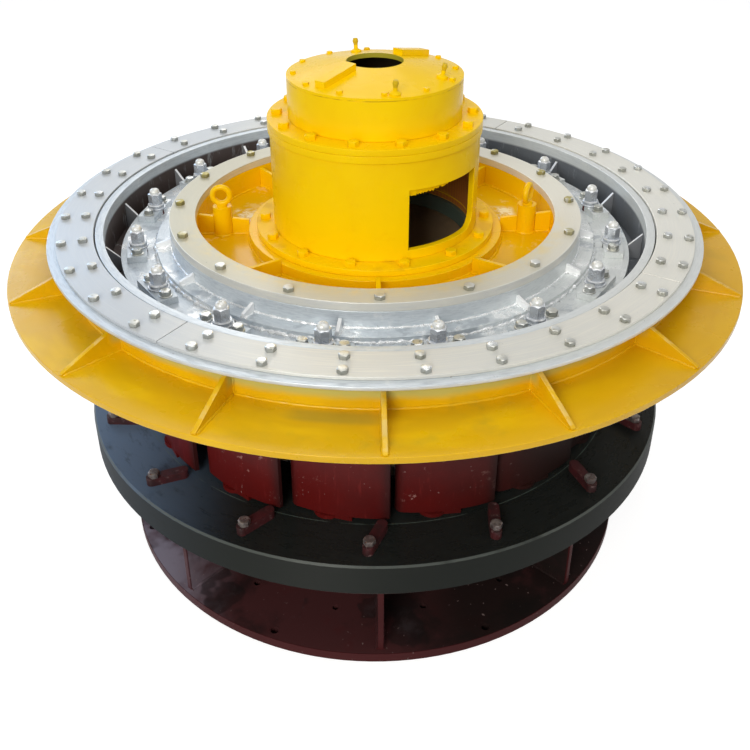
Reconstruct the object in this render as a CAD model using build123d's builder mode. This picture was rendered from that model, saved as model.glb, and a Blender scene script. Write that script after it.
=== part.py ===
from build123d import *
from math import atan2, cos, degrees, pi, radians, sin, sqrt
import os

# Guide-vane distributor of a small axial-flow water turbine: a base with the runner chamber, a bottom ring,
# sixteen guide vanes, the head cover with its support ring, and the bearing housing on top.
# Millimetres, +Z up, the base stands on Z = 0 and the turbine axis is Z. The front is towards -Y.

os.makedirs("parts", exist_ok=True)

# Layout round the axis
vane_count = 16
vane_pitch_radius = 527.0
vane_step = 360.0 / vane_count
vane_spacing = 2.0 * pi * vane_pitch_radius / vane_count
stem_start = vane_step / 2.0

# Base with the runner chamber
base_height = 268.0
base_flange_width = 179.0
base_flange_thickness = 22.0
base_top_setback = 12.0
base_top_thickness = 14.0
chamber_setback = 122.0
chamber_wall = 26.0
base_rib_count = 8
base_rib_thickness = 12.0
base_rib_setback = 10.0
anchor_hole_count = 8
anchor_edge = 22.0
anchor_hole_radius = 9.0
drain_offset = 62.0
drain_hole_radius = 7.0

# Bottom ring with the seats of the vanes
bottom_ring_reach = 149.0
bottom_ring_thickness = 68.0
bottom_ring_bevel = 4.0
throat_rounding = 24.0
trunnion_radius = 20.0
trunnion_length = 38.0
trunnion_hole_depth = 44.0

# Guide vanes
vane_passage_height = 328.0
vane_end_gap = 9.0
vane_head_share = 0.362
vane_tail_share = 0.611
vane_closed_turn = 6.0
vane_half_thickness = 23.0
vane_nose_half_width = 18.0
vane_nose_length = 16.0
vane_tail_half_width = 4.0
collar_radius = 30.0
foot_half_width = 22.0
foot_head_reach = 9.0
foot_tail_reach = 55.0
seat_gap = 0.3
stem_radius = 17.0
stem_clearance = 0.08
stud_radius = 10.0
stud_length = 44.0

# Closing stops of the vanes
stop_bolt_setback = 43.0
stop_bolt_lag = 2.1
stop_slant = 23.0
stop_width = 22.0
stop_height = 18.0
stop_inner_reach = 70.0
stop_outer_reach = 17.0

# Head cover
cover_floor_thickness = 12.0
cover_wall_setback = 69.5
cover_wall_thickness = 27.5
cover_wall_height = 79.0
ledge_width = 32.5
ledge_height = 44.0
deck_width = 77.0
deck_height = 31.0
trough_width = 28.0
lip_width = 18.0
lip_height = 92.0
cover_rib_offset = 2.0
cover_rib_thickness = 7.0
trough_rib_height = 60.0
ledge_rib_height = 20.0
stem_block_length = 110.0
stem_block_width = 41.0
stem_block_height = 14.0
stem_block_shift = 4.0

# Support ring with its flange and gussets
support_gap = 48.0
support_wall = 12.0
support_flange_width = 127.0
support_flange_thickness = 13.0
support_flange_lift = 17.0
support_wall_height = 92.0
gusset_thickness = 9.0
gusset_height = 54.0
gusset_toe = 4.0
gusset_setback = 3.0

# Clamp ring of four segments
clamp_seat_overhang = 38.0
clamp_seat_thickness = 8.0
segment_setback = 18.0
segment_thickness = 7.0
segment_count = 4
segment_joint = 1.5
lip_groove = 2.5

# Inner cover
pan_flange_width = 57.5
pan_flange_thickness = 18.0
pan_wall = 10.0
pan_depth = 83.0
pan_floor_thickness = 12.0
pan_bore_lap = 9.0
pan_rib_count = 8
pan_rib_thickness = 10.0
pan_rib_height = 48.0
pan_rib_drop = 14.0
hub_cone_setback = 20.0
hub_cone_depth = 360.0
hub_cone_wall = 10.0
hub_cone_bulge = 20.0

# Lifting posts
post_offset = 2.0
post_diameter = 42.0
post_height = 67.0
eye_radius = 19.0
eye_bar_radius = 6.5
eye_collar_radius = 12.0
eye_collar_height = 7.0
right_eye_turn = 62.0

# Bearing housing
seat_ring_width = 19.0
seat_ring_thickness = 24.0
housing_share = 0.57
housing_wall = 14.0
housing_flange_width = 39.0
housing_flange_thickness = 14.0
housing_height = 244.0
housing_top_step = 4.0
housing_top_thickness = 16.0
window_angle = 41.6
window_width = 193.0
window_height = 132.0
window_sill = 21.0
window_corner = 34.0

# Bearing cap and its cover
cap_setback = 45.0
cap_wall = 12.0
cap_height = 96.0
cap_flange_thickness = 14.0
top_cover_edge = 6.0
top_cover_rise = 25.0
top_cover_thickness = 10.0
shaft_bore_radius = 60.0
joint_lug_angle = -42.0
joint_lug_width = 26.0
joint_lug_height = 13.0
joint_lug_bore_gap = 14.0
joint_lug_rim_gap = 19.0
fitting_boss_radius = 12.0
fitting_boss_height = 8.0
fitting_neck_radius = 4.5
fitting_head_radius = 6.5
fitting_height = 30.0

# Radii that follow, from the pitch circle of the vanes inwards and outwards
chamber_bore_radius = vane_pitch_radius - chamber_setback
chamber_outer_radius = chamber_bore_radius + chamber_wall
base_flange_radius = chamber_outer_radius + base_flange_width
base_rib_radius = base_flange_radius - base_rib_setback
anchor_circle_radius = base_flange_radius - anchor_edge
drain_circle_radius = chamber_outer_radius + drain_offset
bottom_ring_radius = vane_pitch_radius + bottom_ring_reach
base_top_radius = bottom_ring_radius - base_top_setback
stop_bolt_radius = bottom_ring_radius - stop_bolt_setback
vane_head = vane_head_share * vane_spacing
vane_tail = vane_tail_share * vane_spacing
cover_wall_radius = vane_pitch_radius - cover_wall_setback
cover_inner_radius = cover_wall_radius - cover_wall_thickness
ledge_radius = cover_wall_radius + ledge_width
deck_radius = ledge_radius + deck_width
trough_radius = deck_radius + trough_width
lip_radius = trough_radius + lip_width
support_wall_inner_radius = lip_radius + support_gap
support_wall_radius = support_wall_inner_radius + support_wall
support_flange_radius = support_wall_radius + support_flange_width
clamp_seat_radius = support_wall_radius + clamp_seat_overhang
segment_radius = clamp_seat_radius - segment_setback
clamp_inner_radius = lip_radius + lip_groove
pan_flange_inner_radius = cover_wall_radius - pan_flange_width
pan_wall_radius = pan_flange_inner_radius + pan_wall
housing_radius = housing_share * pan_flange_inner_radius
housing_bore_radius = housing_radius - housing_wall
housing_flange_radius = housing_radius + housing_flange_width
housing_top_radius = housing_radius + housing_top_step
pan_bore_radius = housing_bore_radius - pan_bore_lap
hub_cone_radius = pan_bore_radius - hub_cone_setback
seat_ring_radius = housing_flange_radius + seat_ring_width
post_radius = (seat_ring_radius + pan_flange_inner_radius) / 2 + post_offset
cap_radius = housing_top_radius - cap_setback
joint_lug_inner_radius = shaft_bore_radius + joint_lug_bore_gap
joint_lug_outer_radius = cap_radius - joint_lug_rim_gap

# Heights that follow
bottom_ring_top = base_height + bottom_ring_thickness
cover_floor = bottom_ring_top + vane_passage_height
cover_floor_top = cover_floor + cover_floor_thickness
deck_top = cover_floor_top + deck_height
ledge_top = cover_floor_top + ledge_height
cover_wall_top = cover_floor_top + cover_wall_height
lip_top = cover_floor_top + lip_height
block_top = deck_top + stem_block_height
support_top = cover_floor + support_wall_height
support_flange_bottom = cover_floor + support_flange_lift
support_flange_top = support_flange_bottom + support_flange_thickness
clamp_seat_top = support_top + clamp_seat_thickness
clamp_top = clamp_seat_top + segment_thickness
pan_top = cover_wall_top + pan_flange_thickness
pan_floor = pan_top - pan_depth
pan_floor_top = pan_floor + pan_floor_thickness
seat_ring_top = pan_floor_top + seat_ring_thickness
housing_flange_top = seat_ring_top + housing_flange_thickness
housing_top = seat_ring_top + housing_height
cap_flange_top = housing_top + cap_flange_thickness
cap_top = cap_flange_top + cap_height - cap_flange_thickness
vane_bottom = bottom_ring_top + vane_end_gap
vane_top = cover_floor - vane_end_gap

# Base: bottom flange with two circles of holes, chamber wall, top plate and eight standing ribs
with BuildPart() as base_flange:
    with BuildSketch():
        Circle(base_flange_radius)
        Circle(chamber_bore_radius, mode=Mode.SUBTRACT)
        with PolarLocations(anchor_circle_radius, anchor_hole_count, start_angle=180 / anchor_hole_count):
            Circle(anchor_hole_radius, mode=Mode.SUBTRACT)
        with PolarLocations(drain_circle_radius, vane_count, start_angle=stem_start):
            Circle(drain_hole_radius, mode=Mode.SUBTRACT)
    extrude(amount=base_flange_thickness)
base_flange.part.label = "base_flange"
export_step(base_flange.part, "parts/base_flange.step")

base_rib_height = base_height - base_top_thickness - base_flange_thickness
with BuildPart() as runner_chamber:
    with BuildSketch(Plane.XY.offset(base_flange_thickness)):
        Circle(chamber_outer_radius)
        Circle(chamber_bore_radius, mode=Mode.SUBTRACT)
    extrude(amount=base_rib_height)
runner_chamber.part.label = "runner_chamber"
export_step(runner_chamber.part, "parts/runner_chamber.step")

with BuildPart() as base_top_plate:
    with BuildSketch(Plane.XY.offset(base_height - base_top_thickness)):
        Circle(base_top_radius)
        Circle(chamber_bore_radius, mode=Mode.SUBTRACT)
    extrude(amount=base_top_thickness)
base_top_plate.part.label = "base_top_plate"
export_step(base_top_plate.part, "parts/base_top_plate.step")

with BuildPart() as base_rib:
    with BuildSketch(Plane.XY.offset(base_flange_thickness)):
        with Locations((chamber_outer_radius, 0)):
            Rectangle(base_rib_radius - chamber_outer_radius, base_rib_thickness, align=(Align.MIN, Align.CENTER))
    extrude(amount=base_rib_height)
with BuildPart() as base_ribs:
    with PolarLocations(0, base_rib_count):
        add(base_rib.part)
base_ribs.part.label = "base_ribs"
export_step(base_ribs.part, "parts/base_ribs.step")

# Bottom ring with a rounded throat, a bevelled rim and a blind hole under each vane
with BuildPart() as bottom_ring:
    with BuildSketch(Plane.XZ):
        with BuildLine():
            Polyline(
                (chamber_bore_radius, bottom_ring_top),
                (chamber_bore_radius, base_height),
                (bottom_ring_radius, base_height),
                (bottom_ring_radius, bottom_ring_top),
                close=True,
            )
        make_face()
    revolve(axis=Axis.Z)
    top_edges = faces().sort_by(Axis.Z)[-1].edges().sort_by(SortBy.RADIUS)
    fillet(top_edges[0], throat_rounding)
    chamfer(edges().filter_by(GeomType.CIRCLE).group_by(Axis.Z)[-1].sort_by(SortBy.RADIUS)[-1], bottom_ring_bevel)
    with Locations((0, 0, bottom_ring_top)):
        with PolarLocations(vane_pitch_radius, vane_count, start_angle=stem_start):
            Hole(trunnion_radius + stem_clearance, depth=trunnion_hole_depth)
bottom_ring.part.label = "bottom_ring"
export_step(bottom_ring.part, "parts/bottom_ring.step")

# Closing stops: slanting bars bolted to the bottom ring, one outside the tail of each vane
with BuildPart() as vane_stop:
    with BuildSketch(Plane.XY.offset(bottom_ring_top)):
        with Locations(Location((stop_bolt_radius, 0, 0), (0, 0, -stop_slant))):
            with Locations(((stop_outer_reach - stop_inner_reach) / 2, 0)):
                SlotOverall(stop_outer_reach + stop_inner_reach, stop_width)
    extrude(amount=stop_height)
with BuildPart() as vane_stops:
    with PolarLocations(0, vane_count, start_angle=-stop_bolt_lag):
        add(vane_stop.part)
vane_stops.part.label = "vane_stops"
export_step(vane_stops.part, "parts/vane_stops.step")

# Guide vane: a tapered blade with a foot and a trunnion below and a collar and a stem above
with BuildPart() as vane_blank:
    nose_start = vane_nose_length - vane_head
    with BuildSketch(Plane.XY.offset(vane_bottom)):
        with BuildLine():
            ThreePointArc(
                (vane_nose_half_width, nose_start), (0, -vane_head), (-vane_nose_half_width, nose_start)
            )
            ThreePointArc(
                (-vane_nose_half_width, nose_start), (-vane_half_thickness, 0), (-vane_tail_half_width, vane_tail)
            )
            Line((-vane_tail_half_width, vane_tail), (vane_tail_half_width, vane_tail))
            ThreePointArc(
                (vane_tail_half_width, vane_tail), (vane_half_thickness, 0), (vane_nose_half_width, nose_start)
            )
        make_face()
    extrude(amount=vane_top - vane_bottom)
    with BuildSketch(Plane.XY.offset(bottom_ring_top + seat_gap)):
        Circle(collar_radius)
        with Locations((0, (foot_tail_reach - foot_head_reach) / 2)):
            Rectangle(2 * foot_half_width, foot_tail_reach + foot_head_reach)
    extrude(amount=vane_end_gap - seat_gap)
    with BuildSketch(Plane.XY.offset(bottom_ring_top + seat_gap)):
        Circle(trunnion_radius)
    extrude(amount=-trunnion_length)
    with BuildSketch(Plane.XY.offset(vane_top)):
        Circle(collar_radius)
    extrude(amount=vane_end_gap - seat_gap)
    with BuildSketch(Plane.XY.offset(vane_top)):
        Circle(stem_radius)
    extrude(amount=block_top - vane_top)
    with BuildSketch(Plane.XY.offset(block_top)):
        Circle(stud_radius)
    extrude(amount=stud_length)
for number in range(1, vane_count + 1):
    angle = stem_start + (number - 1) * vane_step
    with BuildPart() as guide_vane:
        with PolarLocations(vane_pitch_radius, 1, start_angle=angle):
            add(vane_blank.part, rotation=(0, 0, -vane_closed_turn))
    guide_vane.part.label = f"guide_vane_{number:02d}"
    export_step(guide_vane.part, f"parts/guide_vane_{number:02d}.step")

# Head cover: floor over the vanes, inner wall, stepped deck with the stem holes, and outer lip
with BuildPart() as cover_floor_ring:
    with BuildSketch(Plane.XY.offset(cover_floor)):
        Circle(support_wall_inner_radius)
        Circle(cover_inner_radius, mode=Mode.SUBTRACT)
        with PolarLocations(vane_pitch_radius, vane_count, start_angle=stem_start):
            Circle(stem_radius + stem_clearance, mode=Mode.SUBTRACT)
    extrude(amount=cover_floor_thickness)
cover_floor_ring.part.label = "cover_floor_ring"
export_step(cover_floor_ring.part, "parts/cover_floor_ring.step")

with BuildPart() as cover_wall:
    with BuildSketch(Plane.XY.offset(cover_floor_top)):
        Circle(cover_wall_radius)
        Circle(cover_inner_radius, mode=Mode.SUBTRACT)
    extrude(amount=cover_wall_height)
cover_wall.part.label = "cover_wall"
export_step(cover_wall.part, "parts/cover_wall.step")

with BuildPart() as stem_deck:
    with BuildSketch(Plane.XZ):
        with BuildLine():
            Polyline(
                (cover_wall_radius, cover_floor_top),
                (deck_radius, cover_floor_top),
                (deck_radius, deck_top),
                (ledge_radius, deck_top),
                (ledge_radius, ledge_top),
                (cover_wall_radius, ledge_top),
                close=True,
            )
        make_face()
    revolve(axis=Axis.Z)
    with Locations((0, 0, deck_top)):
        with PolarLocations(vane_pitch_radius, vane_count, start_angle=stem_start):
            Hole(stem_radius + stem_clearance, depth=deck_height)
stem_deck.part.label = "stem_deck"
export_step(stem_deck.part, "parts/stem_deck.step")

with BuildPart() as cover_lip:
    with BuildSketch(Plane.XY.offset(cover_floor_top)):
        Circle(lip_radius)
        Circle(trough_radius, mode=Mode.SUBTRACT)
    extrude(amount=lip_height)
cover_lip.part.label = "cover_lip"
export_step(cover_lip.part, "parts/cover_lip.step")

# Radial ribs across the trough and on the ledge, one of each beside every stem
trough_rib_reach = sqrt(trough_radius**2 - (cover_rib_thickness / 2) ** 2)
with BuildPart() as trough_rib:
    with BuildSketch(Plane.XZ):
        with BuildLine():
            Polyline(
                (deck_radius, cover_floor_top),
                (trough_rib_reach, cover_floor_top),
                (trough_rib_reach, cover_floor_top + trough_rib_height),
                (deck_radius, deck_top),
                close=True,
            )
        make_face()
    extrude(amount=cover_rib_thickness / 2, both=True)
with BuildPart() as ledge_rib:
    with BuildSketch(Plane.XZ):
        with BuildLine():
            Polyline(
                (cover_wall_radius, ledge_top),
                (ledge_radius, ledge_top),
                (ledge_radius, ledge_top + ledge_rib_height / 2),
                (cover_wall_radius, ledge_top + ledge_rib_height),
                close=True,
            )
        make_face()
    extrude(amount=cover_rib_thickness / 2, both=True)
with BuildPart() as cover_ribs:
    with PolarLocations(0, vane_count, start_angle=stem_start + cover_rib_offset):
        add(trough_rib.part)
        add(ledge_rib.part)
cover_ribs.part.label = "cover_ribs"
export_step(cover_ribs.part, "parts/cover_ribs.step")

# Stem blocks: bearing plates on the deck, one round each stem
with BuildPart() as stem_block:
    with BuildSketch(Plane.XY.offset(deck_top)):
        with Locations((stem_block_shift, 0)):
            Rectangle(stem_block_width, stem_block_length)
    extrude(amount=stem_block_height)
    with Locations((0, 0, block_top)):
        Hole(stem_radius + stem_clearance, depth=stem_block_height)
with BuildPart() as stem_blocks:
    with PolarLocations(vane_pitch_radius, vane_count, start_angle=stem_start):
        add(stem_block.part)
stem_blocks.part.label = "stem_blocks"
export_step(stem_blocks.part, "parts/stem_blocks.step")

# Support ring: standing wall, a wide flange round it and sixteen tapered gussets
with BuildPart() as support_wall_ring:
    with BuildSketch(Plane.XY.offset(cover_floor)):
        Circle(support_wall_radius)
        Circle(support_wall_inner_radius, mode=Mode.SUBTRACT)
    extrude(amount=support_wall_height)
support_wall_ring.part.label = "support_wall_ring"
export_step(support_wall_ring.part, "parts/support_wall_ring.step")

with BuildPart() as support_flange:
    with BuildSketch(Plane.XY.offset(support_flange_bottom)):
        Circle(support_flange_radius)
        Circle(support_wall_radius, mode=Mode.SUBTRACT)
    extrude(amount=support_flange_thickness)
support_flange.part.label = "support_flange"
export_step(support_flange.part, "parts/support_flange.step")

gusset_tip_radius = support_flange_radius - gusset_setback
with BuildPart() as gusset:
    with BuildSketch(Plane.XZ):
        with BuildLine():
            Polyline(
                (support_wall_radius, support_flange_top),
                (gusset_tip_radius, support_flange_top),
                (gusset_tip_radius, support_flange_top + gusset_toe),
                (support_wall_radius, support_flange_top + gusset_height),
                close=True,
            )
        make_face()
    extrude(amount=gusset_thickness / 2, both=True)
with BuildPart() as support_gussets:
    with PolarLocations(0, vane_count):
        add(gusset.part)
support_gussets.part.label = "support_gussets"
export_step(support_gussets.part, "parts/support_gussets.step")

# Clamp ring: a seat ring on the support wall and four arc plates that lie on it
with BuildPart() as clamp_seat:
    with BuildSketch(Plane.XY.offset(support_top)):
        Circle(clamp_seat_radius)
        Circle(clamp_inner_radius, mode=Mode.SUBTRACT)
    extrude(amount=clamp_seat_thickness)
clamp_seat.part.label = "clamp_seat"
export_step(clamp_seat.part, "parts/clamp_seat.step")

segment_arc = 360.0 / segment_count
segment_start = -stem_start - vane_step
with BuildPart() as clamp_segment:
    with BuildSketch(Plane.XY.offset(clamp_seat_top)):
        Circle(segment_radius)
        Circle(clamp_inner_radius, mode=Mode.SUBTRACT)
    extrude(amount=segment_thickness)
    for side, cut_angle in ((1, 0.0), (-1, segment_arc)):
        cut_normal = (-sin(radians(cut_angle)), cos(radians(cut_angle)), 0)
        cut_plane = Plane(origin=(0, 0, 0), z_dir=cut_normal).offset(side * segment_joint / 2)
        split(bisect_by=cut_plane, keep=Keep.TOP if side > 0 else Keep.BOTTOM)
with BuildPart() as clamp_segments:
    with PolarLocations(0, segment_count, start_angle=segment_start):
        add(clamp_segment.part)
clamp_segments.part.label = "clamp_segments"
export_step(clamp_segments.part, "parts/clamp_segments.step")

# Inner cover: bolting flange, pan with radial ribs, and the hub cone that hangs below it
with BuildPart() as pan_flange:
    with BuildSketch(Plane.XY.offset(cover_wall_top)):
        Circle(cover_wall_radius)
        Circle(pan_flange_inner_radius, mode=Mode.SUBTRACT)
    extrude(amount=pan_flange_thickness)
pan_flange.part.label = "pan_flange"
export_step(pan_flange.part, "parts/pan_flange.step")

with BuildPart() as pan_wall_ring:
    with BuildSketch(Plane.XY.offset(pan_floor)):
        Circle(pan_wall_radius)
        Circle(pan_flange_inner_radius, mode=Mode.SUBTRACT)
    extrude(amount=cover_wall_top - pan_floor)
pan_wall_ring.part.label = "pan_wall_ring"
export_step(pan_wall_ring.part, "parts/pan_wall_ring.step")

with BuildPart() as inner_pan:
    with BuildSketch(Plane.XZ):
        with BuildLine():
            Polyline(
                (pan_bore_radius, pan_floor),
                (pan_flange_inner_radius, pan_floor),
                (pan_flange_inner_radius, pan_floor_top),
                (seat_ring_radius, pan_floor_top),
                (seat_ring_radius, seat_ring_top),
                (pan_bore_radius, seat_ring_top),
                close=True,
            )
        make_face()
    revolve(axis=Axis.Z)
inner_pan.part.label = "inner_pan"
export_step(inner_pan.part, "parts/inner_pan.step")

pan_rib_reach = sqrt(pan_flange_inner_radius**2 - (pan_rib_thickness / 2) ** 2)
with BuildPart() as pan_rib:
    with BuildSketch(Plane.XZ):
        with BuildLine():
            Polyline(
                (seat_ring_radius, pan_floor_top),
                (pan_rib_reach, pan_floor_top),
                (pan_rib_reach, pan_floor_top + pan_rib_height),
                (seat_ring_radius, pan_floor_top + pan_rib_height - pan_rib_drop),
                close=True,
            )
        make_face()
    extrude(amount=pan_rib_thickness / 2, both=True)
with BuildPart() as pan_ribs:
    with PolarLocations(0, pan_rib_count):
        add(pan_rib.part)
    with BuildSketch(Plane.XY.offset(pan_floor_top)):
        with PolarLocations(post_radius, 2):
            Circle(post_diameter / 2)
    extrude(amount=post_height, mode=Mode.SUBTRACT)
pan_ribs.part.label = "pan_ribs"
export_step(pan_ribs.part, "parts/pan_ribs.step")

cone_bottom = pan_floor - hub_cone_depth
with BuildPart() as hub_cone:
    with BuildSketch(Plane.XZ):
        with BuildLine():
            middle_radius = (pan_flange_inner_radius + hub_cone_radius) / 2
            middle_height = pan_floor - hub_cone_depth / 2
            Line((pan_flange_inner_radius - hub_cone_wall, pan_floor), (pan_flange_inner_radius, pan_floor))
            ThreePointArc(
                (pan_flange_inner_radius, pan_floor),
                (middle_radius - hub_cone_bulge, middle_height - hub_cone_bulge),
                (hub_cone_radius, cone_bottom),
            )
            Line((hub_cone_radius, cone_bottom), (hub_cone_radius - hub_cone_wall, cone_bottom))
            ThreePointArc(
                (hub_cone_radius - hub_cone_wall, cone_bottom),
                (middle_radius - hub_cone_bulge - hub_cone_wall, middle_height - hub_cone_bulge),
                (pan_flange_inner_radius - hub_cone_wall, pan_floor),
            )
        make_face()
    revolve(axis=Axis.Z)
hub_cone.part.label = "hub_cone"
export_step(hub_cone.part, "parts/hub_cone.step")

# Lifting posts on the pan floor, each with an eye
post_top = pan_floor_top + post_height
eye_centre = post_top + eye_collar_height + eye_radius
with BuildPart() as lifting_posts:
    with BuildSketch(Plane.XY.offset(pan_floor_top)):
        with PolarLocations(post_radius, 2):
            Circle(post_diameter / 2)
    extrude(amount=post_height)
lifting_posts.part.label = "lifting_posts"
export_step(lifting_posts.part, "parts/lifting_posts.step")

with BuildPart() as lifting_eyes:
    with BuildSketch(Plane.XY.offset(post_top)):
        with PolarLocations(post_radius, 2):
            Circle(eye_collar_radius)
    extrude(amount=eye_collar_height)
    with Locations(
        Location((-post_radius, 0, eye_centre), (90, 0, 0)),
        Location((post_radius, 0, eye_centre), (90, right_eye_turn, 0)),
    ):
        Torus(eye_radius, eye_bar_radius)
lifting_eyes.part.label = "lifting_eyes"
export_step(lifting_eyes.part, "parts/lifting_eyes.step")

# Bearing housing: foot flange, and a hollow drum with a top flange and an access window cut in its side
with BuildPart() as housing_flange:
    with BuildSketch(Plane.XY.offset(seat_ring_top)):
        Circle(housing_flange_radius)
        Circle(housing_bore_radius, mode=Mode.SUBTRACT)
    extrude(amount=housing_flange_thickness)
housing_flange.part.label = "housing_flange"
export_step(housing_flange.part, "parts/housing_flange.step")

window_direction = radians(window_angle - 90)
window_plane = Plane(
    origin=(0, 0, housing_flange_top + window_sill),
    x_dir=(-sin(window_direction), cos(window_direction), 0),
    z_dir=(cos(window_direction), sin(window_direction), 0),
)
with BuildPart() as bearing_housing:
    with BuildSketch(Plane.XZ):
        with BuildLine():
            Polyline(
                (housing_bore_radius, housing_flange_top),
                (housing_radius, housing_flange_top),
                (housing_radius, housing_top - housing_top_thickness),
                (housing_top_radius, housing_top - housing_top_thickness),
                (housing_top_radius, housing_top),
                (housing_bore_radius, housing_top),
                close=True,
            )
        make_face()
    revolve(axis=Axis.Z)
    with BuildSketch(window_plane):
        Rectangle(window_width, window_height, align=(Align.CENTER, Align.MIN))
        fillet(vertices().group_by(Axis.Y)[0].sort_by(Axis.X)[-1], window_corner)
    extrude(amount=housing_flange_radius, mode=Mode.SUBTRACT)
bearing_housing.part.label = "bearing_housing"
export_step(bearing_housing.part, "parts/bearing_housing.step")

# Bearing cap on its flange
with BuildPart() as cap_flange:
    with BuildSketch(Plane.XY.offset(housing_top)):
        Circle(housing_top_radius)
        Circle(cap_radius - cap_wall, mode=Mode.SUBTRACT)
    extrude(amount=cap_flange_thickness)
cap_flange.part.label = "cap_flange"
export_step(cap_flange.part, "parts/cap_flange.step")

with BuildPart() as bearing_cap:
    with BuildSketch(Plane.XY.offset(cap_flange_top)):
        Circle(cap_radius)
        Circle(cap_radius - cap_wall, mode=Mode.SUBTRACT)
    extrude(amount=cap_height - cap_flange_thickness)
bearing_cap.part.label = "bearing_cap"
export_step(bearing_cap.part, "parts/bearing_cap.step")

# Conical cover with the shaft bore, two joint lugs and three fittings
cover_edge_top = cap_top + top_cover_edge
with BuildPart() as cover_plate:
    with BuildSketch(Plane.XZ):
        with BuildLine():
            Polyline(
                (cap_radius, cap_top),
                (cap_radius, cover_edge_top),
                (shaft_bore_radius, cover_edge_top + top_cover_rise),
                (shaft_bore_radius, cover_edge_top + top_cover_rise - top_cover_thickness),
                (cap_radius - cap_wall, cap_top),
                close=True,
            )
        make_face()
    revolve(axis=Axis.Z)

cover_slope = top_cover_rise / (cap_radius - shaft_bore_radius)
lug_inner_seat = cover_edge_top + cover_slope * (cap_radius - joint_lug_inner_radius)
lug_outer_seat = cover_edge_top + cover_slope * (cap_radius - joint_lug_outer_radius)
with BuildPart() as joint_lug:
    with BuildSketch(Plane.XZ):
        with BuildLine():
            Polyline(
                (joint_lug_inner_radius, lug_inner_seat),
                (joint_lug_outer_radius, lug_outer_seat),
                (joint_lug_outer_radius, lug_outer_seat + joint_lug_height),
                (joint_lug_inner_radius, lug_inner_seat + joint_lug_height),
                close=True,
            )
        make_face()
    extrude(amount=joint_lug_width / 2, both=True)
fitting_tilt = atan2(top_cover_rise, cap_radius - shaft_bore_radius)
with BuildPart() as cover_fitting:
    with BuildSketch(Plane.XZ):
        with BuildLine():
            Polyline(
                (0, 0),
                (fitting_boss_radius, 0),
                (fitting_boss_radius, fitting_boss_height / 2),
                (fitting_neck_radius, fitting_boss_height),
                (fitting_neck_radius, fitting_height - fitting_head_radius * 2),
                (fitting_head_radius, fitting_height - fitting_head_radius),
                (fitting_neck_radius, fitting_height),
                (0, fitting_height),
                close=True,
            )
        make_face()
    revolve(axis=Axis.Z)
with BuildPart() as top_cover:
    add(cover_plate.part)
    with PolarLocations(0, 2, start_angle=joint_lug_angle - 90):
        add(joint_lug.part)
    for fitting_share, fitting_angle in ((0.46, -160.7), (0.72, 63.6), (0.88, 11.9)):
        fitting_radius = shaft_bore_radius + fitting_share * (cap_radius - shaft_bore_radius)
        fitting_seat = cover_edge_top + cover_slope * (cap_radius - fitting_radius)
        with Locations(Location((0, 0, 0), (0, 0, fitting_angle - 90))):
            with Locations(Location((fitting_radius, 0, fitting_seat), (0, degrees(fitting_tilt), 0))):
                add(cover_fitting.part)
top_cover.part.label = "top_cover"
export_step(top_cover.part, "parts/top_cover.step")
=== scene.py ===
import math
import random

import bmesh
import bpy
from mathutils import Matrix, Vector


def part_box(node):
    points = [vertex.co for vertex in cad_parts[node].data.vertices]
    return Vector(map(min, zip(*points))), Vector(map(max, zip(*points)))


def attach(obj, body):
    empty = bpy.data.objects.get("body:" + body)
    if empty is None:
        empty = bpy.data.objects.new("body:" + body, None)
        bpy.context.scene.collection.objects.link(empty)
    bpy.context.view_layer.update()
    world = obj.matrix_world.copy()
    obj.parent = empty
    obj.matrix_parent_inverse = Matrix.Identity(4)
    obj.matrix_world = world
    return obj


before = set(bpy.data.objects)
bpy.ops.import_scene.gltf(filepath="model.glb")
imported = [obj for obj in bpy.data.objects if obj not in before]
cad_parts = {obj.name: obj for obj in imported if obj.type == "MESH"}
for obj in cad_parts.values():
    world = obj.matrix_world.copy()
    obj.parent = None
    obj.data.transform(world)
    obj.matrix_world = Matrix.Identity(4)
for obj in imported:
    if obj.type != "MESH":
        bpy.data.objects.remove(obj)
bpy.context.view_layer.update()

bl_info = {
    "name": "Turbine distributor dressing",
    "version": (1, 0, 0),
    "blender": (4, 5, 0),
    "location": "View3D > Sidebar > Distributor",
    "description": "Finishes, fasteners, welds and a stage for the guide-vane distributor of a water turbine",
    "category": "Object",
}

ROOT_BODY = "distributor"
VANE_COUNT = 16
VANE_STEP = 360.0 / VANE_COUNT
PITCH_RADIUS = 0.527

YELLOW_TOWER = ("housing_flange", "bearing_housing", "cap_flange", "bearing_cap", "top_cover")
YELLOW_PAN = ("pan_wall_ring", "inner_pan", "pan_ribs", "lifting_posts", "lifting_eyes")
YELLOW_SUPPORT = ("support_wall_ring", "support_flange", "support_gussets")
SILVER_COVER = ("cover_floor_ring", "cover_wall", "stem_deck", "cover_lip", "stem_blocks", "clamp_seat")
TURNED_RINGS = ("clamp_segments", "pan_flange")
MAROON_BASE = ("base_flange", "runner_chamber", "base_top_plate", "base_ribs")


def height_of(node):
    """Height of a node's top, in metres."""
    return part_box(node)[1].z


CLAMP_TOP = height_of("clamp_segments")
PAN_FLANGE_TOP = height_of("pan_flange")
BLOCK_TOP = height_of("stem_blocks")
STOP_TOP = height_of("vane_stops")
DECK_TOP = BLOCK_TOP - 0.014
LEDGE_TOP = height_of("stem_deck")
FLANGE_TOP = height_of("support_flange")
RING_TOP = height_of("bottom_ring")
HOUSING_FOOT_TOP = height_of("housing_flange")
HOUSING_TOP = height_of("bearing_housing")
CAP_FLANGE_TOP = height_of("cap_flange")
CAP_TOP = height_of("bearing_cap")
BASE_FLANGE_TOP = height_of("base_flange")
CHAMBER_TOP = height_of("runner_chamber")
PAN_FLOOR_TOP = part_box("lifting_posts")[0].z

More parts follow.
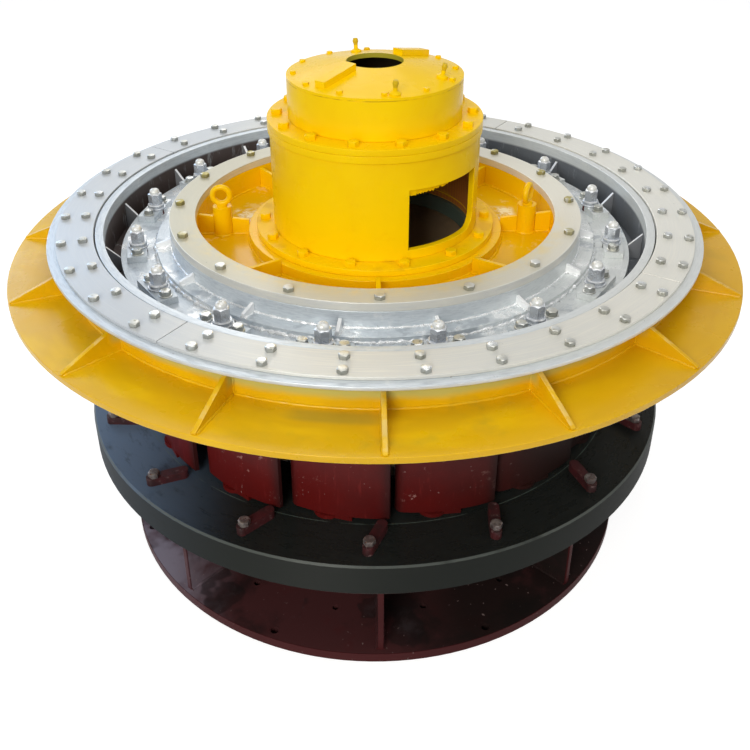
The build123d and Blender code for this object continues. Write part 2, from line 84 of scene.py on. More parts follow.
# Radii that the welds and the finishes follow
SHAFT_BORE_RADIUS = 0.0605
HOUSING_BORE_RADIUS = 0.2138
DECK_RADII = (0.462, 0.566)
TROUGH_RADII = (0.568, 0.5954)
RIB_END_RADII = (0.597, 0.6005)
BASE_EDGE_RADIUS = 0.6095
SUPPORT_WALL_RADIUS = 0.673
PAN_SEAT_RADIUS = 0.286
PAN_WALL_RADIUS = 0.400
POST_REACH = 0.345
POST_RADIUS = 0.021
CHAMBER_RADIUS = 0.431
LEDGE_RADII = (0.4575, 0.490)

# Where the ribs stand that are welded down, from the axis out
GUSSET_RUN = (0.675, 0.794)
PAN_RIB_RUN = (0.288, 0.398)
POST_GAP = (0.325, 0.365)
LEDGE_RIB_RUN = (0.4585, 0.489)
BASE_RIB_RUN = (0.433, 0.598)

# Bolt circles
CLAMP_BOLT_RADII = (0.637, 0.680)
PAN_BOLT_RADIUS = 0.439
BLOCK_BOLT_RADIUS = PITCH_RADIUS + 0.004
STOP_BOLT_RADIUS = 0.633
HOUSING_BOLT_RADIUS = 0.248
CAP_BOLT_RADIUS = 0.211
COVER_BOLT_RADIUS = 0.172

# The cone of the top cover and the slope of the gussets
COVER_EDGE_RADIUS = 0.187
COVER_EDGE_TOP = CAP_TOP + 0.006
COVER_SLOPE = 25.0 / 127.0
GUSSET_HEIGHT = 0.054
GUSSET_SLOPE = 50.0 / 124.0

# Bolts stand at any turn, up to the next flat
HEAD_TURN = 60.0

BEAD_SIDES = 6
WELD_SMOOTH = 80.0


# Sizes and colours


class DistributorSizes(bpy.types.PropertyGroup):
    """Sizes of the fasteners, welds and soft edges."""

    clamp_bolt: bpy.props.FloatProperty(
        name="Clamp bolt", description="Width across the flats of the clamp ring bolts",
        default=0.0176, unit="LENGTH",
    )
    pan_bolt: bpy.props.FloatProperty(
        name="Pan bolt", description="Width across the flats of the inner cover bolts",
        default=0.019, unit="LENGTH",
    )
    block_bolt: bpy.props.FloatProperty(
        name="Block bolt", description="Width across the flats of the stem block bolts",
        default=0.020, unit="LENGTH",
    )
    stop_bolt: bpy.props.FloatProperty(
        name="Stop bolt", description="Width across the flats of the vane stop bolts",
        default=0.021, unit="LENGTH",
    )
    tower_bolt: bpy.props.FloatProperty(
        name="Tower bolt", description="Width across the flats of the bearing housing bolts",
        default=0.021, unit="LENGTH",
    )
    cover_bolt: bpy.props.FloatProperty(
        name="Cover bolt", description="Width across the flats of the top cover bolts",
        default=0.012, unit="LENGTH",
    )
    stem_nut: bpy.props.FloatProperty(
        name="Stem nut", description="Width across the flats of the nuts on the vane stems",
        default=0.0278, unit="LENGTH",
    )
    weld: bpy.props.FloatProperty(
        name="Weld", description="Radius of the weld beads", default=0.0036, unit="LENGTH"
    )
    soft_edge: bpy.props.FloatProperty(
        name="Soft edge", description="Width of the rounding on the frame's edges",
        default=0.0014, unit="LENGTH",
    )


class DistributorColours(bpy.types.PropertyGroup):
    """Colours of the finishes."""

    yellow: bpy.props.FloatVectorProperty(
        name="Yellow", description="Gloss paint of the tower and the support ring", subtype="COLOR",
        default=(0.98, 0.66, 0.001), min=0.0, max=1.0,
    )
    deep_yellow: bpy.props.FloatVectorProperty(
        name="Deep yellow", description="The same paint where it lies thick", subtype="COLOR",
        default=(0.86, 0.48, 0.001), min=0.0, max=1.0,
    )
    support_yellow: bpy.props.FloatVectorProperty(
        name="Support yellow", description="The paint of the support ring, a little dulled", subtype="COLOR",
        default=(0.75, 0.44, 0.002), min=0.0, max=1.0,
    )
    silver: bpy.props.FloatVectorProperty(
        name="Silver", description="Aluminium paint of the head cover", subtype="COLOR",
        default=(0.64, 0.69, 0.73), min=0.0, max=1.0,
    )
    turned: bpy.props.FloatVectorProperty(
        name="Turned steel", description="Turned rings under a thin coat", subtype="COLOR",
        default=(0.70, 0.69, 0.63), min=0.0, max=1.0,
    )
    zinc: bpy.props.FloatVectorProperty(
        name="Zinc", description="Plated bolts", subtype="COLOR", default=(0.62, 0.62, 0.57), min=0.0, max=1.0
    )
    vane_red: bpy.props.FloatVectorProperty(
        name="Vane red", description="Primer of the guide vanes", subtype="COLOR",
        default=(0.104, 0.0055, 0.005), min=0.0, max=1.0,
    )
    maroon: bpy.props.FloatVectorProperty(
        name="Maroon", description="Primer of the base", subtype="COLOR",
        default=(0.072, 0.024, 0.025), min=0.0, max=1.0,
    )
    ring_black: bpy.props.FloatVectorProperty(
        name="Ring black", description="Oiled steel of the bottom ring", subtype="COLOR",
        default=(0.013, 0.015, 0.014), min=0.0, max=1.0,
    )


class DistributorStage(bpy.types.PropertyGroup):
    """Camera and light."""

    camera_distance: bpy.props.FloatProperty(
        name="Distance", description="From the turbine axis to the camera, along the floor",
        default=1.92157, unit="LENGTH",
    )
    camera_height: bpy.props.FloatProperty(
        name="Height", description="Height of the camera above the floor", default=1.60905, unit="LENGTH"
    )
    camera_turn: bpy.props.FloatProperty(
        name="Turn", description="How far the camera stands to the right of the front",
        default=math.radians(-1.15), unit="ROTATION",
    )
    camera_pitch: bpy.props.FloatProperty(
        name="Pitch", description="How far the camera looks down",
        default=math.radians(28.898), unit="ROTATION",
    )
    lens: bpy.props.FloatProperty(
        name="Lens", description="Focal length of the camera in millimetres", default=44.33
    )
    shift: bpy.props.FloatProperty(
        name="Shift", description="Vertical shift of the picture, as a share of its width", default=-0.1133
    )
    window_power: bpy.props.FloatProperty(
        name="Window", description="Power of the cool light on the left", default=34.0, unit="POWER"
    )
    key_power: bpy.props.FloatProperty(
        name="Key", description="Power of the soft light in front on the left", default=190.0, unit="POWER"
    )
    overhead_power: bpy.props.FloatProperty(
        name="Overhead", description="Power of the soft light overhead", default=42.0, unit="POWER"
    )
    back_power: bpy.props.FloatProperty(
        name="Back", description="Power of the soft light behind", default=44.0, unit="POWER"
    )
    fill_power: bpy.props.FloatProperty(
        name="Fill", description="Power of the warm light on the right", default=8.0, unit="POWER"
    )


# Procedural finishes


class Nodes:
    """The nodes of a finish, of the floor or of the world."""

    def __init__(self, tree):
        self.tree = tree

    def node(self, kind, **inputs):
        made = self.tree.nodes.new(kind)
        for socket, value in inputs.items():
            self.feed(made.inputs[socket], value)
        return made

    def feed(self, socket, value):
        if isinstance(value, bpy.types.NodeSocket):
            self.tree.links.new(value, socket)
        else:
            socket.default_value = value

    def sum(self, operation, first, second=0.0):
        made = self.node("ShaderNodeMath")
        made.operation = operation
        self.feed(made.inputs[0], first)
        self.feed(made.inputs[1], second)
        return made.outputs[0]

    def fade(self, value, low, high, first, last, shape="SMOOTHSTEP"):
        """Goes from first, where the value is low, to last, where it is high."""
        made = self.node("ShaderNodeMapRange", Value=value)
        made.interpolation_type = shape
        for socket, level in (("From Min", low), ("From Max", high), ("To Min", first), ("To Max", last)):
            made.inputs[socket].default_value = level
        return made.outputs["Result"]


class Finish(Nodes):
    """One finish: the coordinates its patterns read, and the colour and roughness laid so far."""

    def __init__(self, name, colour, roughness):
        self.material = bpy.data.materials.new(name)
        self.material.use_nodes = True
        super().__init__(self.material.node_tree)
        self.shader = self.tree.nodes["Principled BSDF"]
        self.place = self.node("ShaderNodeTexCoord").outputs["Object"]
        self.x, self.y, self.height = self.node("ShaderNodeSeparateXYZ", Vector=self.place).outputs
        squares = [self.sum("MULTIPLY", side, side) for side in (self.x, self.y)]
        self.radius = self.sum("POWER", self.sum("ADD", *squares), 0.5)
        self.angle = self.sum("ARCTAN2", self.y, self.x)
        self.colour = (*colour, 1.0)
        self.roughness = roughness
        self.relief = None

    def step(self, value, low, high):
        """0 below low, 1 above high, smooth between; low above high turns it round."""
        if low < high:
            return self.fade(value, low, high, 0.0, 1.0)
        return self.fade(value, high, low, 1.0, 0.0)

    # Steps by place: out from the axis, up, to the right and to the back
    def radial(self, low, high):
        return self.step(self.radius, low, high)

    def rise(self, low, high):
        return self.step(self.height, low, high)

    def right(self, low, high):
        return self.step(self.x, low, high)

    def behind(self, low, high):
        return self.step(self.y, low, high)

    def slope(self, fall):
        """Height, raised by as much as a cone falls on the way out."""
        return self.sum("ADD", self.height, self.sum("MULTIPLY", self.radius, fall))

    def band(self, value, low, high, soft):
        """1 between low and high, falling to 0 over the soft width outside."""
        return self.sum("MULTIPLY", self.step(value, low - soft, low), self.step(value, high + soft, high))

    def both(self, *masks):
        total = masks[0]
        for mask in masks[1:]:
            total = self.sum("MULTIPLY", total, mask)
        return total

    def noise(self, scale, detail=3.0, rough=0.55, at=None):
        inputs = {"Vector": at or self.place, "Scale": scale, "Detail": detail, "Roughness": rough}
        return self.node("ShaderNodeTexNoise", **inputs).outputs["Fac"]

    def cloud(self, scale, low, high, detail=3.0, rough=0.55):
        """Patches of a noise: 0 where it is below low, 1 above high."""
        return self.step(self.noise(scale, detail, rough), low, high)

    def stretched(self, across, along, up):
        """Coordinates drawn out round the axis, for turning marks and brush strokes."""
        made = self.node("ShaderNodeCombineXYZ")
        drawn = ((self.radius, across), (self.angle, along), (self.height, up))
        for socket, (value, scale) in zip(made.inputs, drawn):
            self.feed(socket, self.sum("MULTIPLY", value, scale))
        return made.outputs[0]

    def squeezed(self, x, y, z):
        """Coordinates scaled on each axis, for streaks and runs."""
        made = self.node("ShaderNodeVectorMath", Vector=self.place)
        made.operation = "MULTIPLY"
        made.inputs[1].default_value = (x, y, z)
        return made.outputs[0]

    def facing(self):
        """The x, y and z of the way a face looks."""
        normal = self.node("ShaderNodeNewGeometry").outputs["True Normal"]
        return self.node("ShaderNodeSeparateXYZ", Vector=normal).outputs

    def sides(self):
        """1 on upright faces, 0 on those that look up."""
        return self.step(self.facing()["Z"], 0.55, 0.25)

    def lay(self, mask, colour, roughness=None, share=1.0):
        """Covers what is laid so far with another colour where the mask is 1."""
        if share != 1.0:
            mask = self.sum("MULTIPLY", mask, share)
        mixed = self.node("ShaderNodeMix")
        mixed.data_type = "RGBA"
        self.feed(mixed.inputs[0], mask)
        self.feed(mixed.inputs[6], self.colour)
        self.feed(mixed.inputs[7], (*colour, 1.0))
        self.colour = mixed.outputs[2]
        if roughness is not None:
            self.roughen(mask, roughness)

    def roughen(self, mask, roughness):
        """Changes the roughness laid so far where the mask is 1."""
        level = self.node("ShaderNodeMix")
        self.feed(level.inputs[0], mask)
        self.feed(level.inputs[2], self.roughness)
        self.feed(level.inputs[3], roughness)
        self.roughness = level.outputs[0]

    def emboss(self, pattern, amount):
        """Adds a pattern to the relief."""
        part = self.sum("MULTIPLY", pattern, amount)
        self.relief = part if self.relief is None else self.sum("ADD", self.relief, part)

    def grain(self, amount, scale, detail=3.0, rough=0.55):
        """Adds a noise to the relief."""
        self.emboss(self.noise(scale, detail, rough), amount)

    def turn_marks(self, amount):
        """Draws reflections out across the marks that a lathe leaves round the axis."""
        marks = self.node("ShaderNodeTangent")
        marks.direction_type = "RADIAL"
        marks.axis = "Z"
        self.shader.inputs["Anisotropic"].default_value = amount
        self.shader.inputs["Anisotropic Rotation"].default_value = 0.25
        self.feed(self.shader.inputs["Tangent"], marks.outputs["Tangent"])

    def close(self, depth, strength, metallic=0.0, specular=0.5):
        """Ends the finish: hands what is laid to the shader, with the depth of the relief."""
        self.shader.inputs["Metallic"].default_value = metallic
        self.shader.inputs["Specular IOR Level"].default_value = specular
        self.feed(self.shader.inputs["Base Color"], self.colour)
        self.feed(self.shader.inputs["Roughness"], self.roughness)
        if self.relief is not None:
            bump = self.node("ShaderNodeBump", Height=self.relief, Strength=strength, Distance=depth)
            self.feed(self.shader.inputs["Normal"], bump.outputs["Normal"])
        return self.material


def gloss_paint(name, colour, deep, roughness=0.24):
    """Brushed gloss paint: cloudy tone, thick places, dust specks and an uneven skin."""
    coat = Finish(name, colour, roughness)
    coat.lay(coat.cloud(3.5, 0.42, 0.72, 4.0), deep, share=0.55)
    coat.lay(coat.cloud(26.0, 0.55, 0.8, 5.0, 0.65), deep, share=0.35)
    coat.roughen(coat.cloud(9.0, 0.35, 0.75, 4.0), roughness + 0.16)
    coat.grain(0.7, 38.0)
    coat.grain(0.12, 240.0, 2.0)
    return coat


def tower_yellow(colours):
    coat = gloss_paint("tower_yellow", colours.yellow, colours.deep_yellow)
    inside = coat.both(coat.radial(HOUSING_BORE_RADIUS + 0.0006, HOUSING_BORE_RADIUS),
                       coat.rise(0.724, 0.7255), coat.rise(HOUSING_TOP + 0.0005, HOUSING_TOP - 0.0005))
    coat.lay(inside, (0.42, 0.085, 0.038), 0.4)
    bore = coat.both(coat.radial(SHAFT_BORE_RADIUS + 0.002, SHAFT_BORE_RADIUS), coat.rise(1.0, 1.01))
    coat.lay(bore, (0.42, 0.36, 0.03), 0.5)
    seam = coat.both(coat.band(coat.height, CAP_TOP - 0.0006, CAP_TOP + 0.0006, 0.0006),
                     coat.cloud(22.0, 0.45, 0.6, 2.0))
    coat.lay(seam, (0.35, 0.18, 0.01), 0.5, 0.6)
    cone = coat.slope(COVER_SLOPE)
    crest = COVER_EDGE_TOP + COVER_EDGE_RADIUS * COVER_SLOPE
    # Painted shade: faces that look up are laid a deeper yellow
    coat.lay(coat.step(coat.facing()["Z"], 0.6, 0.9), (0.88, 0.55, 0.001), None, 0.6)
    # Painted shade: the hollow inside the top cover, under its crest, is laid near black
    hollow_shade = coat.both(coat.step(cone, crest - 0.010, crest - 0.012), coat.radial(0.1765, 0.1755),
                       coat.rise(HOUSING_TOP - 0.0005, HOUSING_TOP + 0.0005))
    coat.lay(hollow_shade, (0.035, 0.026, 0.012), 0.6)
    proud = coat.step(cone, crest + 0.0145, crest + 0.0165)
    coat.lay(proud, (0.52, 0.36, 0.02), 0.3, 0.7)
    foot = coat.both(coat.band(coat.height, HOUSING_FOOT_TOP - 0.001, HOUSING_FOOT_TOP + 0.004, 0.006),
                     coat.cloud(14.0, 0.5, 0.68, 4.0))
    coat.lay(foot, (0.62, 0.33, 0.01), 0.45, 0.5)
    return coat.close(0.0012, 0.35, specular=0.1)


def pan_yellow(colours):
    coat = gloss_paint("pan_yellow", (0.90, 0.56, 0.001), colours.deep_yellow, 0.2)
    floor = coat.both(coat.rise(PAN_FLOOR_TOP + 0.004, PAN_FLOOR_TOP - 0.002),
                      coat.radial(PAN_SEAT_RADIUS, PAN_SEAT_RADIUS + 0.014))
    coat.lay(floor, (0.70, 0.39, 0.001), 0.18, 0.8)
    # Painted glints: pale shiny patches on the worn pan floor
    painted_lighting_patch = coat.both(floor, coat.cloud(16.0, 0.56, 0.64, 6.0, 0.7))
    coat.lay(painted_lighting_patch, (0.93, 0.78, 0.42), 0.22, 0.4)
    # Painted glints: pale patches on the floor beside the posts
    beside = coat.both(coat.band(coat.sum("ABSOLUTE", coat.x), 0.262, 0.326, 0.015),
                       coat.band(coat.y, 0.02, 0.12, 0.025), coat.rise(0.712, 0.704),
                       coat.cloud(42.0, 0.44, 0.58, 5.0, 0.7))
    coat.lay(beside, (0.95, 0.88, 0.62), 0.3, 0.8)
    bore = coat.both(coat.radial(HOUSING_BORE_RADIUS + 0.0008, HOUSING_BORE_RADIUS),
                     coat.rise(0.7285, 0.7275))
    coat.lay(bore, (0.10, 0.135, 0.105), 0.4)
    under = coat.rise(0.6915, 0.6905)
    coat.lay(under, colours.maroon, 0.5)
    return coat.close(0.0014, 0.45, specular=0.2)


def support_yellow(colours):
    coat = gloss_paint("support_yellow", colours.support_yellow, colours.deep_yellow)
    brush = coat.noise(2.0, 2.0, 0.5, coat.stretched(14.0, 3.0, 14.0))
    coat.lay(coat.step(brush, 0.42, 0.74), (0.93, 0.60, 0.002), None, 0.45)
    # Grey-green overspray at the top of the wall, with painted shade under the seat's overhang
    ragged = coat.sum("ADD", coat.height, coat.sum("MULTIPLY", coat.noise(13.0, 4.0), 0.02))
    mist_and_shade = coat.both(coat.step(ragged, FLANGE_TOP + 0.022, FLANGE_TOP + 0.040),
                     coat.radial(0.70, 0.68))
    coat.lay(mist_and_shade, (0.50, 0.50, 0.16), 0.45, 0.85)
    # Painted shade: soft grey-green patches in a band on the flange round the wall
    shade_band = coat.both(coat.cloud(5.0, 0.56, 0.74, 5.0, 0.6),
                       coat.band(coat.radius, 0.68, 0.76, 0.03))
    coat.lay(shade_band, (0.40, 0.30, 0.03), 0.4, 0.6)
    # Painted shadow: a soft olive patch on the flange in front of the wall, a little left of the middle
    painted_lighting_patch = coat.both(coat.band(coat.x, -0.13, -0.03, 0.05), coat.behind(-0.5, -0.6),
                       coat.band(coat.radius, 0.693, 0.707, 0.016), coat.cloud(9.0, 0.3, 0.55, 4.0))
    coat.lay(painted_lighting_patch, (0.38, 0.31, 0.05), 0.4, 0.45)
    slope = coat.slope(GUSSET_SLOPE)
    crest = FLANGE_TOP + GUSSET_HEIGHT + SUPPORT_WALL_RADIUS * GUSSET_SLOPE
    worn = coat.both(coat.step(slope, crest - 0.0012, crest - 0.0004), coat.rise(0.699, 0.701),
                     coat.cloud(30.0, 0.46, 0.58, 4.0))
    # Painted shade: the right side is laid a deeper yellow
    coat.lay(coat.right(0.10, 0.60), (0.64, 0.34, 0.001), None, 0.55)
    coat.lay(worn, (0.80, 0.66, 0.30), 0.4, 0.35)
    return coat.close(0.0012, 0.4, specular=0.38)


def silver_paint(colours):
    coat = Finish("silver_paint", colours.silver, 0.36)
    strokes = coat.noise(5.0, 5.0, 0.6, coat.stretched(60.0, 5.0, 60.0))
    coat.lay(coat.step(strokes, 0.4, 0.7), (0.46, 0.51, 0.56), 0.46, 0.6)
    coat.lay(coat.cloud(18.0, 0.6, 0.75, 6.0, 0.7), (0.86, 0.87, 0.87), 0.3, 0.6)
    # Painted light: the right side is laid lighter and warmer
    coat.lay(coat.right(0.05, 0.50), (0.88, 0.87, 0.80), None, 0.45)
    # Painted shadow: the trough below the lip is laid dark, where the lip's lower edge shades it
    trough = coat.both(coat.band(coat.radius, *TROUGH_RADII, 0.0012), coat.rise(0.747, 0.739),
                       coat.cloud(7.0, 0.2, 0.36, 5.0, 0.65))
    coat.lay(trough, (0.105, 0.115, 0.135), 0.5, 0.9)
    coat.lay(coat.both(trough, coat.right(0.05, -0.25)), (0.075, 0.046, 0.036), 0.55, 0.85)
    streaks = coat.noise(6.0, 5.0, 0.7, coat.squeezed(6.0, 6.0, 1.5))
    coat.lay(coat.both(trough, coat.step(streaks, 0.56, 0.70)), (0.44, 0.46, 0.48), 0.42, 0.65)
    deck = coat.band(coat.radius, *DECK_RADII, 0.004)
    # Painted highlights: bright patches on the stem deck
    coat.lay(coat.both(coat.cloud(11.0, 0.52, 0.62, 6.0, 0.7), deck), (0.97, 0.98, 0.98), 0.22, 0.9)
    # Painted shade: dark patches on the stem deck
    coat.lay(coat.both(coat.cloud(14.0, 0.46, 0.36, 5.0, 0.65), deck), (0.34, 0.38, 0.42), 0.4, 0.6)
    specks = coat.both(coat.cloud(90.0, 0.72, 0.76, 2.0), coat.cloud(6.0, 0.45, 0.6))
    coat.lay(specks, (0.22, 0.21, 0.19), 0.6, 0.7)
    coat.emboss(strokes, 0.5)
    coat.grain(0.6, 60.0, 4.0, 0.6)
    return coat.close(0.0012, 0.4, metallic=0.4)


def rib_silver():
    coat = Finish("rib_silver", (0.90, 0.91, 0.92), 0.4)
    coat.lay(coat.cloud(40.0, 0.5, 0.7, 5.0, 0.65), (0.70, 0.72, 0.74), 0.45, 0.6)
    # Painted shade: the upright sides of the ribs in the trough are laid dark
    sides = coat.both(coat.sides(), coat.radial(0.52, 0.56))
    coat.lay(sides, (0.15, 0.16, 0.18), 0.5, 0.9)
    coat.grain(0.6, 90.0, 4.0)
    return coat.close(0.0008, 0.4, metallic=0.2)


def turned_steel(colours):
    coat = Finish("turned_steel", colours.turned, 0.38)
    marks = coat.noise(4.0, 4.0, 0.6, coat.stretched(420.0, 1.6, 40.0))
    broad = coat.noise(3.0, 3.0, 0.5, coat.stretched(70.0, 2.2, 20.0))
    coat.lay(coat.step(marks, 0.4, 0.66), (0.59, 0.60, 0.60), 0.46, 0.55)
    coat.lay(coat.step(broad, 0.5, 0.7), (0.78, 0.76, 0.68), 0.36, 0.5)
    inner = coat.both(coat.radial(0.4565, 0.4545),
                      coat.rise(PAN_FLANGE_TOP - 0.003, PAN_FLANGE_TOP - 0.001))
    coat.lay(inner, (0.56, 0.51, 0.36), 0.42, 0.5)
    # Painted shade: the left of the pan flange's top is laid darker
    coat.lay(coat.both(inner, coat.right(-0.15, -0.40)), (0.44, 0.43, 0.33), None, 0.5)
    # Painted light: a cool bluish sheen is laid on the left of the clamp ring
    cool = coat.both(coat.right(-0.15, -0.48), coat.radial(0.50, 0.58))
    coat.lay(cool, (0.48, 0.53, 0.60), None, 0.65)
    # Painted light: the right side is laid lighter and warmer
    coat.lay(coat.right(0.15, 0.50), (0.88, 0.86, 0.78), None, 0.45)
    # Yellow overspray and a painted reflection of the tower on the front of the pan flange
    spray_and_reflection = coat.both(coat.radial(0.450, 0.405), coat.cloud(26.0, 0.30, 0.72, 5.0, 0.7),
                      coat.behind(0.0, -0.28))
    coat.lay(spray_and_reflection, (0.80, 0.60, 0.17), 0.42, 0.6)
    specks = coat.both(coat.cloud(110.0, 0.73, 0.77, 2.0), coat.cloud(5.0, 0.45, 0.65))
    coat.lay(specks, (0.2, 0.19, 0.17), 0.6, 0.7)
    coat.emboss(marks, 0.35)
    coat.grain(0.25, 45.0)
    coat.turn_marks(0.6)
    return coat.close(0.0008, 0.3, metallic=0.24, specular=0.35)


def zinc_plate(colours):
    coat = Finish("zinc_plate", colours.zinc, 0.34)
    coat.lay(coat.cloud(34.0, 0.42, 0.66), (0.84, 0.87, 0.89), 0.24, 0.75)
    coat.lay(coat.cloud(160.0, 0.58, 0.7), (0.27, 0.26, 0.18), 0.5, 0.7)
    # Painted shade: the upright sides of the heads are laid dark
    coat.lay(coat.sides(), (0.15, 0.155, 0.135), 0.42, 0.5)
    coat.grain(0.5, 300.0)
    return coat.close(0.0005, 0.4, metallic=0.75)


def bright_zinc():
    coat = Finish("bright_zinc", (0.74, 0.77, 0.81), 0.24)
    coat.lay(coat.cloud(45.0, 0.45, 0.65, 4.0), (0.90, 0.92, 0.95), 0.2, 0.7)
    coat.lay(coat.cloud(150.0, 0.6, 0.7), (0.36, 0.36, 0.34), 0.4, 0.6)
    # Painted shade: the upright sides of the nuts are laid dark
    coat.lay(coat.sides(), (0.30, 0.33, 0.38), 0.3, 0.6)
    coat.grain(0.5, 260.0)
    return coat.close(0.0005, 0.4, metallic=0.45)


def oversprayed_zinc(colours):
    coat = Finish("oversprayed_zinc", colours.zinc, 0.36)
    coat.lay(coat.cloud(30.0, 0.4, 0.62), (0.76, 0.77, 0.76), 0.3, 0.8)
    back = coat.behind(-0.36, -0.08)
    coat.lay(coat.both(back, coat.cloud(85.0, 0.36, 0.52)), (0.42, 0.35, 0.06), 0.42, 0.9)
    # Painted shade: the upright sides of the heads are laid dark
    coat.lay(coat.sides(), (0.15, 0.14, 0.07), 0.45, 0.55)
    coat.grain(0.5, 260.0)
    return coat.close(0.0005, 0.4, metallic=0.5)


def vane_red(colours):
    coat = Finish("vane_red", colours.vane_red, 0.36)
    coat.lay(coat.cloud(6.0, 0.4, 0.7, 5.0, 0.6), (0.066, 0.005, 0.005), 0.44, 0.8)
    runs = coat.noise(9.0, 4.0, 0.6, coat.squeezed(9.0, 9.0, 1.2))
    coat.lay(coat.step(runs, 0.58, 0.72), (0.18, 0.018, 0.017), 0.32, 0.5)
    rubs = coat.both(coat.cloud(34.0, 0.60, 0.63, 7.0, 0.78), coat.cloud(9.0, 0.54, 0.62, 2.0))
    coat.lay(rubs, (0.42, 0.22, 0.20), 0.6, 0.6)
    chips = coat.both(coat.cloud(120.0, 0.70, 0.735, 2.0), coat.cloud(8.0, 0.42, 0.6))
    coat.lay(chips, (0.42, 0.27, 0.26), 0.6, 0.85)
    # Painted shade: each vane darkens to near black towards the gaps on either side
    pitches = coat.sum("MULTIPLY", coat.angle, VANE_COUNT / (2.0 * math.pi))
    pitch = coat.sum("FRACT", coat.sum("SUBTRACT", pitches, 0.1))
    edges = coat.sum("MULTIPLY", coat.sum("ABSOLUTE", coat.sum("SUBTRACT", pitch, 0.5)), 2.0)
    coat.lay(coat.step(edges, 0.70, 1.0), (0.016, 0.005, 0.005), 0.5, 0.85)
    # Painted shade: the front right of the vanes is laid near black
    front_right_shade = coat.both(coat.right(0.03, 0.36), coat.behind(0.10, -0.15))
    coat.lay(front_right_shade, (0.010, 0.005, 0.004), 0.6, 0.95)
    coat.grain(0.6, 55.0, 4.0, 0.6)
    coat.emboss(runs, 0.4)
    return coat.close(0.001, 0.4, specular=0.2)


def base_maroon(colours):
    coat = Finish("base_maroon", colours.maroon, 0.34)
    coat.lay(coat.cloud(4.0, 0.46, 0.62, 5.0, 0.65), (0.014, 0.011, 0.011), 0.42, 0.8)
    coat.lay(coat.cloud(10.0, 0.54, 0.7, 4.0), (0.085, 0.014, 0.015), 0.3, 0.6)
    coat.lay(coat.cloud(7.0, 0.58, 0.72, 6.0, 0.7), (0.13, 0.10, 0.11), 0.5, 0.55)
    # Painted shade: patches on the front right of the base are laid near black
    front_right_shade = coat.both(coat.right(-0.02, 0.20), coat.behind(0.10, -0.15),
                     coat.cloud(5.0, 0.28, 0.5, 5.0, 0.65))
    coat.lay(front_right_shade, (0.010, 0.009, 0.008), 0.5, 0.85)
    # Purple-grey dust on the left, with a painted sheen of the light from the left
    dust_and_sheen = coat.both(coat.right(-0.30, -0.50), coat.cloud(5.0, 0.34, 0.5, 4.0, 0.6))
    coat.lay(dust_and_sheen, (0.33, 0.295, 0.36), 0.5, 0.8)
    stains = coat.both(coat.cloud(7.0, 0.58, 0.61, 3.0, 0.5), coat.rise(0.03, 0.023))
    coat.lay(stains, (0.016, 0.012, 0.012), 0.3, 0.6)
    edge = coat.both(coat.radial(BASE_EDGE_RADIUS - 0.002, BASE_EDGE_RADIUS), coat.rise(0.03, 0.024))
    coat.lay(edge, (0.060, 0.008, 0.009), 0.6, 0.8)
    # Painted shade: the outer ends of the ribs are laid darker
    ribs = coat.both(coat.band(coat.radius, *RIB_END_RADII, 0.001),
                     coat.band(coat.height, 0.024, 0.25, 0.002))
    coat.lay(ribs, (0.055, 0.008, 0.009), 0.6, 0.8)
    chips = coat.both(coat.cloud(95.0, 0.69, 0.73, 2.0), coat.cloud(6.0, 0.45, 0.6))
    coat.lay(chips, (0.30, 0.22, 0.21), 0.6, 0.6)
    coat.grain(0.6, 48.0, 4.0, 0.6)
    return coat.close(0.001, 0.4, specular=0.09)


def oiled_black(colours):
    coat = Finish("oiled_black", colours.ring_black, 0.26)
    film = coat.noise(5.0, 5.0, 0.65, coat.stretched(14.0, 3.0, 14.0))
    coat.roughen(coat.step(film, 0.38, 0.7), 0.38)
    coat.lay(coat.step(film, 0.5, 0.75), (0.015, 0.018, 0.018), None, 0.6)
    # Painted sheen: the left of the ring is laid a pale bluish grey
    left_sheen = coat.both(coat.right(-0.26, -0.60), coat.step(film, 0.05, 0.5))
    coat.lay(left_sheen, (0.155, 0.230, 0.355), 0.36, 0.8)
    rim = coat.both(coat.radial(0.6745, 0.6752), coat.rise(RING_TOP - 0.0035, RING_TOP - 0.005))
    coat.lay(rim, (0.010, 0.012, 0.010), 0.62, 0.9)
    # Painted highlight: a light line along the chamfer of the ring's top edge
    chamfer_highlight = coat.both(coat.radial(0.6718, 0.6726), coat.rise(RING_TOP - 0.0042, RING_TOP - 0.0034),
                      coat.cloud(7.0, 0.3, 0.5, 4.0))
    coat.lay(chamfer_highlight, (0.11, 0.125, 0.115), 0.4, 0.7)
    step_line = coat.both(coat.band(coat.radius, 0.5625, 0.5635, 0.0006), coat.cloud(9.0, 0.4, 0.52),
                          coat.rise(RING_TOP - 0.001, RING_TOP - 0.0005))
    coat.lay(step_line, (0.11, 0.15, 0.13), 0.4, 0.7)
    coat.grain(0.4, 30.0, 4.0)
    coat.emboss(film, 0.3)
    coat.turn_marks(0.85)
    return coat.close(0.0008, 0.15, specular=0.18)


def stop_maroon():
    coat = Finish("stop_maroon", (0.060, 0.012, 0.014), 0.4)
    coat.lay(coat.cloud(30.0, 0.42, 0.66, 5.0, 0.6), (0.022, 0.010, 0.010), 0.46, 0.8)
    coat.lay(coat.cloud(90.0, 0.6, 0.72, 4.0), (0.20, 0.13, 0.13), 0.5, 0.6)
    coat.grain(0.6, 80.0, 4.0)
    return coat.close(0.0008, 0.4)


